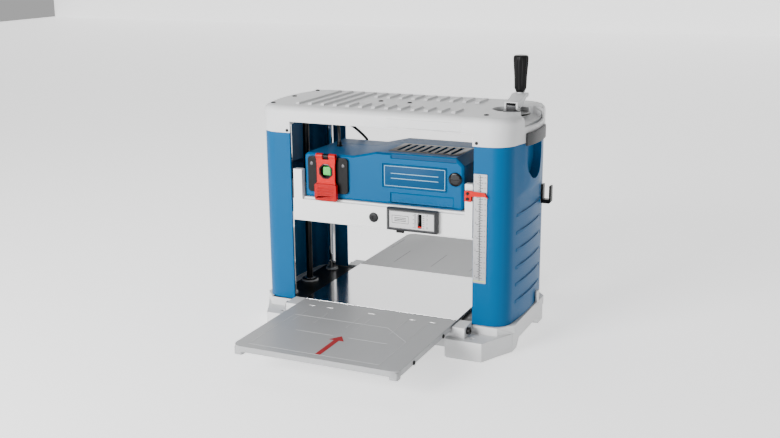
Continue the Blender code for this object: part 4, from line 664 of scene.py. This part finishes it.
# ---------------------------------------------------------------- carriage casting
# The head is one casting, painted off-white: a bar across the front, a deck, side walls and the arms that
# slide on the columns. A black round-headed bolt shows in its front bar.
white_paint = finish("off-white paint", moulded_skin, (0.74, 0.745, 0.74), 0.36, grain_depth=0.3,
                     grain_size=1500.0, tone_drift=0.025)
skin_of("carriage_casting", white_paint, 0.0009)
carriage_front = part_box("carriage_casting")[0].y
bar_bolt = turned_piece([(0.0095, 0.0), (0.0095, 0.0016), (0.0086, 0.0026), (0.0060, 0.0031)], 36)
cut_by(bar_bolt, turned_piece([(0.0034, 0.0012), (0.0034, 0.0060)], 6))
bar_bolt.data.transform(TO_FRONT)
bar_bolt.location = (-0.0125, carriage_front + SUNK, 0.2400)
fitted(bar_bolt, "bar_bolt", "head", black_bolt)


# ---------------------------------------------------------------- lift nuts and cutter bearings
# Flanged bronze nuts ride on the screws, and ball bearings with bright rings hold the cutterhead.
bronze = finish("bronze", drawn_metal, (0.50, 0.33, 0.13), 0.32, 1.0, grain_size=80.0,
                stretch=(4.0, 4.0, 1.0))
ground_steel = finish("ground steel", drawn_metal, (0.50, 0.505, 0.51), 0.24, 1.0, grain_size=60.0,
                      stretch=(1.0, 9.0, 9.0), grain_depth=0.08)
dress(bronze, "lift_nut_left", "lift_nut_right")
dress(ground_steel, "cutter_bearing_left", "cutter_bearing_right")


# ---------------------------------------------------------------- cutterhead
# A steel drum turned with its shaft. Two knives lie in its slots, and its belt pulley is black steel.
dress(ground_steel, "cutter_drum", "knife_1", "knife_2")
dress(black_steel, "cutter_pulley", "motor_pulley")


# ---------------------------------------------------------------- belt and belt guard
# A ribbed rubber belt drives the cutterhead, behind a black moulded guard.
rubber = finish("black rubber", moulded_skin, (0.022, 0.022, 0.022), 0.62, grain_depth=0.5, grain_size=1200.0)
dress(rubber, "drive_belt")
skin_of("belt_guard", black_plastic, 0.0008)


# ---------------------------------------------------------------- feed rollers, chain and gear cover
# Rubber bonded to steel shafts pulls the board through. A chain on the right turns them under a black cover.
dress(rubber, "infeed_roller", "outfeed_roller")
for roller in ("infeed_roller", "outfeed_roller"):
    mesh = frame["nodes"][roller].data
    mesh.materials.append(ground_steel)
    for face in mesh.polygons:
        face.material_index = 1 if abs(face.center.x) > 0.1596 else 0
dress(black_steel, "feed_chain")
skin_of("feed_gearbox_cover", black_plastic, 0.0008)


# ---------------------------------------------------------------- anti-kickback fingers
# A comb of black steel pawls swings on a bright rod in front of the infeed roller.
dress(black_steel, "kickback_fingers")
dress(ground_steel, "kickback_rod")


# ---------------------------------------------------------------- motor housing
# Two blue moulded shells close round the motor. The front one has a sunk band along its top and its foot,
# a framed blank plate in its middle panel, and vent slots over a dark wire screen.
HOUSING_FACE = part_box("motor_housing_front")[0].y


def bands_in_front(piece):
    """Sink the top band, the foot band and the plate's seat into the shell's front."""
    for x0, x1, z0, z1, depth in (
            (0.020, 0.152, 0.3555, 0.3720, 0.0018),
            (0.019, 0.147, 0.2712, 0.2900, 0.0016),
            (0.003, 0.133, 0.2990, 0.3445, 0.0012)):
        cut_by(piece, rounded_bar((x0, HOUSING_FACE - 0.006, z0), (x1, HOUSING_FACE + depth, z1), 0.0010, 1))


shell = skin_of("motor_housing_front", blue_plastic, 0.0009, shape=bands_in_front)
skin_of("motor_housing_rear", blue_plastic, 0.0009)
plate_blue = finish("plate blue", moulded_skin, (0.001, 0.047, 0.125), 0.42, shine=0.1, grain_size=1500.0)
shell.data.materials.append(plate_blue)
for face in shell.data.polygons:
    middle = face.center
    sunk = middle.y > HOUSING_FACE + 0.0010 and middle.y < HOUSING_FACE + 0.0022
    face.material_index = 1 if sunk and 0.018 < middle.x < 0.153 and middle.z > 0.3545 else 0
border_blue = finish("plate border", moulded_skin, (0.20, 0.40, 0.55), 0.40, grain_size=1500.0)
plate = rounded_bar((0.0045, HOUSING_FACE + 0.0002, 0.3005), (0.1315, HOUSING_FACE + 0.0013, 0.3430), 0.0004)
fitted(plate, "name_plate", "head", plate_blue)
borders = []
for x0, x1, z0, z1 in ((0.0065, 0.1295, 0.3402, 0.3412), (0.0065, 0.1295, 0.3023, 0.3033),
                       (0.0065, 0.0075, 0.3028, 0.3407), (0.1285, 0.1295, 0.3028, 0.3407)):
    borders.append(printed(x0, x1, z0, z1, HOUSING_FACE + 0.0002))
for z in (0.3170, 0.3265):
    borders.append(printed(0.020, 0.116, z, z + 0.0012, HOUSING_FACE + 0.0002))
fitted(gathered("name_plate_border", borders), "name_plate_border", "head", border_blue)
dark_wire = finish("dark wire screen", drawn_metal, (0.040, 0.030, 0.024), 0.45, 0.6, grain_size=300.0)
bpy.ops.object.select_all(action="DESELECT")
bpy.ops.mesh.primitive_grid_add(x_subdivisions=72, y_subdivisions=36, size=1,
                                location=(0.0760, -0.049, 0.3612))
screen = bpy.context.object
screen.scale = (0.130, 0.068, 1)
bpy.ops.object.transform_apply(location=True, rotation=True, scale=True)
wires = screen.modifiers.new("wires", "WIREFRAME")
wires.thickness = 0.0006
bpy.ops.object.modifier_apply(modifier="wires")
fitted(screen, "vent_screen", "head", dark_wire)
dark_plastic = finish("vent plastic", moulded_skin, (0.030, 0.023, 0.020), 0.34, grain_size=1500.0)
grille = rounded_bar((0.0060, -0.0900, 0.3647), (0.1480, -0.0095, 0.3658), 0.0004)
VENT_SLOTS = 8
VENT_PITCH = 0.0155
VENT_WIDTH = 0.0075
for i in range(VENT_SLOTS):
    slot_at = 0.018 + i * VENT_PITCH
    cut_by(grille, rounded_bar((slot_at, -0.080, 0.360), (slot_at + VENT_WIDTH, -0.018, 0.370), 0.0002, 1))
fitted(grille, "vent_grille", "head", dark_plastic)


# ---------------------------------------------------------------- brush cap
# A black moulded cap screws in over the motor's brush. A coin slot crosses its domed face.
cap_low, cap_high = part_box("brush_cap")
brush_x = (cap_low.x + cap_high.x) / 2
brush_z = (cap_low.z + cap_high.z) / 2
glossy_black = finish("glossy black plastic", moulded_skin, (0.004, 0.004, 0.0045), 0.18, shine=0.25,
                      grain_depth=0.1, grain_size=1200.0)
brush_cap = turned_piece([(0.0130, 0.0), (0.0130, 0.0014), (0.0122, 0.0022), (0.0098, 0.0028),
                          (0.0092, 0.0022), (0.0050, 0.0024)], 40)
cut_by(brush_cap, rounded_bar((-0.0085, -0.0011, 0.0014), (0.0085, 0.0011, 0.006), 0.0003, 1))
brush_cap.data.transform(TO_FRONT)
brush_cap.location = (brush_x, cap_high.y, brush_z)
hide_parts("brush_cap")
fitted(brush_cap, "brush_cap_domed", "head", glossy_black)


# ---------------------------------------------------------------- motor
# A universal motor: copper windings on a laminated ring, and a steel armature with its fan and commutator.
copper = finish("copper winding", drawn_metal, (0.62, 0.28, 0.13), 0.34, 1.0, grain_size=200.0,
                stretch=(1.0, 12.0, 12.0), grain_depth=0.5)
dress(copper, "motor_stator")
dress(ground_steel, "motor_armature")


# ---------------------------------------------------------------- chip hood
# A black moulded hood over the slot behind the knives. Chips leave by the round port at its back.
skin_of("chip_hood", black_plastic, 0.0010)
hood_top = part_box("chip_hood")[1].z
hood_screws = copies(small_screw, "hood_screws", [(x, 0.082, hood_top - SUNK) for x in (-0.118, 0.118)])
fitted(hood_screws, "hood_screws", "head", black_bolt)


# ---------------------------------------------------------------- motor lead
# A round black rubber lead runs from the switch box to the rear shell. A moulded sleeve grips each end.
lead_rubber = finish("lead rubber", moulded_skin, (0.020, 0.020, 0.020), 0.50, grain_depth=0.25,
                     grain_size=900.0)
dress(lead_rubber, "motor_lead")
sleeve = turned_piece([(0.0062, 0.0), (0.0062, 0.0016), (0.0046, 0.0030), (0.0042, 0.0090),
                       (0.0036, 0.0096)], 24)
cut_by(sleeve, turned_piece([(0.0031, -0.004), (0.0031, 0.020)], 20))
sleeves = copies(sleeve, "lead_sleeves", [(-0.128, -0.030, 0.3540), (-0.114, 0.077, 0.3341)])
bpy.data.objects.remove(sleeve, do_unlink=True)
fitted(sleeves, "lead_sleeves", "head", black_plastic)


# ---------------------------------------------------------------- switch
# A black plate on two cross-head screws holds a green start button. A red stop paddle hangs on a pin at
# its top edge. The button shows through the paddle's window, which has a black rim.
skin_of("switch_plate", black_plastic, 0.0008)
PLATE_FACE = -0.1158
switch_screw = turned_piece([(0.0036, 0.0), (0.0036, 0.0006), (0.0026, 0.0012)], 24)
cut_by(switch_screw, rounded_bar((-0.0022, -0.0004, 0.0004), (0.0022, 0.0004, 0.003), 0.0001, 1))
cut_by(switch_screw, rounded_bar((-0.0004, -0.0022, 0.0004), (0.0004, 0.0022, 0.003), 0.0001, 1))
grey_screw = finish("dull zinc screw", drawn_metal, (0.09, 0.09, 0.095), 0.34, 1.0, grain_size=90.0)
switch_places = [(-0.146, PLATE_FACE + SUNK, 0.3340), (-0.078, PLATE_FACE + SUNK, 0.3335)]
switch_screws = copies(switch_screw, "switch_screws", switch_places, TO_FRONT)
fitted(switch_screws, "switch_screws", "head", grey_screw)
bpy.data.objects.remove(switch_screw, do_unlink=True)
button_green = finish("green plastic", moulded_skin, (0.035, 0.46, 0.065), 0.28, grain_size=1200.0)
stop_red = finish("red plastic", moulded_skin, (0.48, 0.001, 0.002), 0.34, shine=0.14, grain_size=1200.0,
                  grain_depth=0.12)
pad_red = finish("ribbed red plastic", moulded_skin, (0.34, 0.001, 0.002), 0.40, shine=0.14,
                 grain_size=1500.0)
skin_of("start_button", button_green, 0.0012)
paddle_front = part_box("stop_paddle")[0].y
PADDLE_X = -0.1115


def pad_grooves(piece):
    """Cut the finger grooves across the foot of the paddle."""
    for i in range(4):
        z = 0.2700 + i * 0.0056
        cut_by(piece, rounded_bar((PADDLE_X - 0.0165, paddle_front - 0.003, z),
                                  (PADDLE_X + 0.0165, paddle_front + 0.0013, z + 0.0022), 0.0005, 1))
    for way in (-1, 1):
        waist = sorted((PADDLE_X + way * 0.0196, PADDLE_X + way * 0.040))
        cut_by(piece, rounded_bar((waist[0], -0.140, 0.2990), (waist[1], -0.100, 0.3390), 0.0020, 2))


paddle = skin_of("stop_paddle", stop_red, 0.0007, shape=pad_grooves)
paddle.data.materials.append(pad_red)
for face in paddle.data.polygons:
    face.material_index = 1 if face.center.z < 0.2974 and face.center.y < -0.1235 else 0
rim = turned_piece([(0.0156, 0.0), (0.0156, 0.0006), (0.0148, 0.0010)], 8)
cut_by(rim, turned_piece([(0.0133, -0.01), (0.0133, 0.01)], 8))
rim.data.transform(Matrix.Rotation(math.radians(22), 4, "Z"))
rim.data.transform(TO_FRONT)
rim.location = (PADDLE_X, -0.1232, 0.3220)
fitted(rim, "paddle_window_rim", "stop_paddle", glossy_black)


# ---------------------------------------------------------------- depth gauge
# A dark grey bevelled frame screwed to the front bar, with a light printed face. A red pointer rises in its
# slot when the board lifts the black feeler under it.
skin_of("gauge_bezel", handle_grey, 0.0006)
gauge_paint = finish("gauge face print", moulded_skin, (0.50, 0.50, 0.505), 0.34, grain_size=1500.0,
                     tone_drift=0.02)
pointer_red = finish("pointer red", moulded_skin, (0.50, 0.003, 0.002), 0.34, shine=0.14, grain_size=1200.0)
dress(gauge_paint, "gauge_face")
dress(pointer_red, "gauge_pointer")
skin_of("depth_feeler", black_plastic, 0.0005)
gauge_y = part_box("gauge_face")[0].y
SLOT_X = 0.0865
gauge_marks = []
for i in range(14):
    z = 0.2308 + i * 0.0020
    reach = 0.0080 if i % 4 == 0 else 0.0048
    gauge_marks.append(printed(SLOT_X - 0.0060 - reach, SLOT_X - 0.0060, z - 0.0004, z + 0.0004, gauge_y))
    if i % 2 == 0:
        gauge_marks.append(printed(SLOT_X + 0.0060, SLOT_X + 0.0095, z - 0.0005, z + 0.0005, gauge_y))
for i in range(4):
    gauge_marks.append(printed_number(str(i), SLOT_X + 0.0150, 0.2322 + i * 0.0080, 0.0062, gauge_y))
label = rounded_bar((0.0300, gauge_y - INK, 0.2365), (0.0640, gauge_y + INK, 0.2515), 0.0001, 1)
cut_by(label, rounded_bar((0.0308, gauge_y - 0.001, 0.2373), (0.0632, gauge_y + 0.001, 0.2507), 0.0001, 1))
gauge_marks.append(label)
for z in (0.2410, 0.2440, 0.2470):
    gauge_marks.append(printed(0.0350, 0.0590, z - 0.0006, z + 0.0006, gauge_y))
fitted(gathered("gauge_print", gauge_marks), "gauge_print", "head", black_print)
slot_back = rounded_bar((SLOT_X - 0.0050, carriage_front - 0.0008, 0.2270),
                        (SLOT_X + 0.0050, carriage_front + SUNK, 0.2600), 0.0002, 1)
fitted(slot_back, "gauge_slot_back", "head", black_plastic)


# ---------------------------------------------------------------- scale pointer
# A red moulded pointer reaches over the depth scale. Two black screws fix its foot to the head.
skin_of("scale_pointer", pointer_red, 0.0004)
pointer_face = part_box("scale_pointer")[0].y
pointer_places = [(0.1797, pointer_face + SUNK, z) for z in (0.2950, 0.3050)]
pointer_screws = copies(small_screw, "pointer_screws", pointer_places, TO_FRONT)
fitted(pointer_screws, "pointer_screws", "head", black_bolt)
for spare in (cap_screw, small_screw):
    bpy.data.objects.remove(spare, do_unlink=True)


# ---------------------------------------------------------------- floor, light and camera
# A pale sweep under plain soft boxes, and the camera a little right of the front.
floor_white = finish("pale floor", moulded_skin, (0.90, 0.90, 0.90), 0.7, grain_size=300.0, grain_depth=0.02,
                     tone_drift=0.005)
bpy.ops.object.select_all(action="DESELECT")
bpy.ops.mesh.primitive_plane_add(size=14, location=(0, 0, -0.0006))
floor = bpy.context.object
select_edges(floor, lambda middle: middle.y > 6)
bpy.ops.mesh.extrude_edges_move(TRANSFORM_OT_translate={"value": (0, 0, 6)})
bpy.ops.object.mode_set(mode="OBJECT")
bpy.ops.object.transform_apply(location=True, rotation=True, scale=True)
floor.name = "floor"
floor_white.node_tree.nodes["Principled BSDF"].inputs["Emission Color"].default_value = (1.0, 1.0, 1.0, 1.0)
floor_white.node_tree.nodes["Principled BSDF"].inputs["Emission Strength"].default_value = 0.95
floor.data.materials.append(floor_white)


def soft_box(name, place, aim, size, power):
    """A square soft light at a place, turned to an aim."""
    lamp = bpy.data.lights.new(name, "AREA")
    lamp.shape = "SQUARE"
    lamp.size = size
    lamp.energy = power
    box = bpy.data.objects.new(name, lamp)
    bpy.context.collection.objects.link(box)
    box.location = place
    box.rotation_euler = (Vector(aim) - Vector(place)).to_track_quat("-Z", "Y").to_euler()


soft_box("front_left_box", (-1.1, -2.5, 1.0), (0, 0, 0.25), 1.3, 146)
soft_box("top_box", (-0.9, 0.6, 2.2), (0, 0, 0.2), 1.2, 9)
soft_box("right_box", (2.6, 0.6, 1.1), (0, 0, 0.25), 1.0, 4)
world = bpy.data.worlds.new("studio")
world.use_nodes = True
world.node_tree.nodes["Background"].inputs["Color"].default_value = (1.0, 1.0, 1.0, 1.0)
world.node_tree.nodes["Background"].inputs["Strength"].default_value = 0.44
bpy.context.scene.world = world

lens = bpy.data.cameras.new("camera")
lens.lens = 49.37
lens.sensor_width = 36.0
camera = bpy.data.objects.new("camera", lens)
bpy.context.collection.objects.link(camera)
camera.location = (0.8279, -1.9079, 0.7535)
AZIMUTH = math.radians(24.27)
TILT = math.radians(90 - 14.67)
ROLL = math.radians(-0.47)
aim = Matrix.Rotation(AZIMUTH, 4, "Z") @ Matrix.Rotation(TILT, 4, "X") @ Matrix.Rotation(ROLL, 4, "Z")
camera.rotation_euler = aim.to_euler()
bpy.context.scene.camera = camera
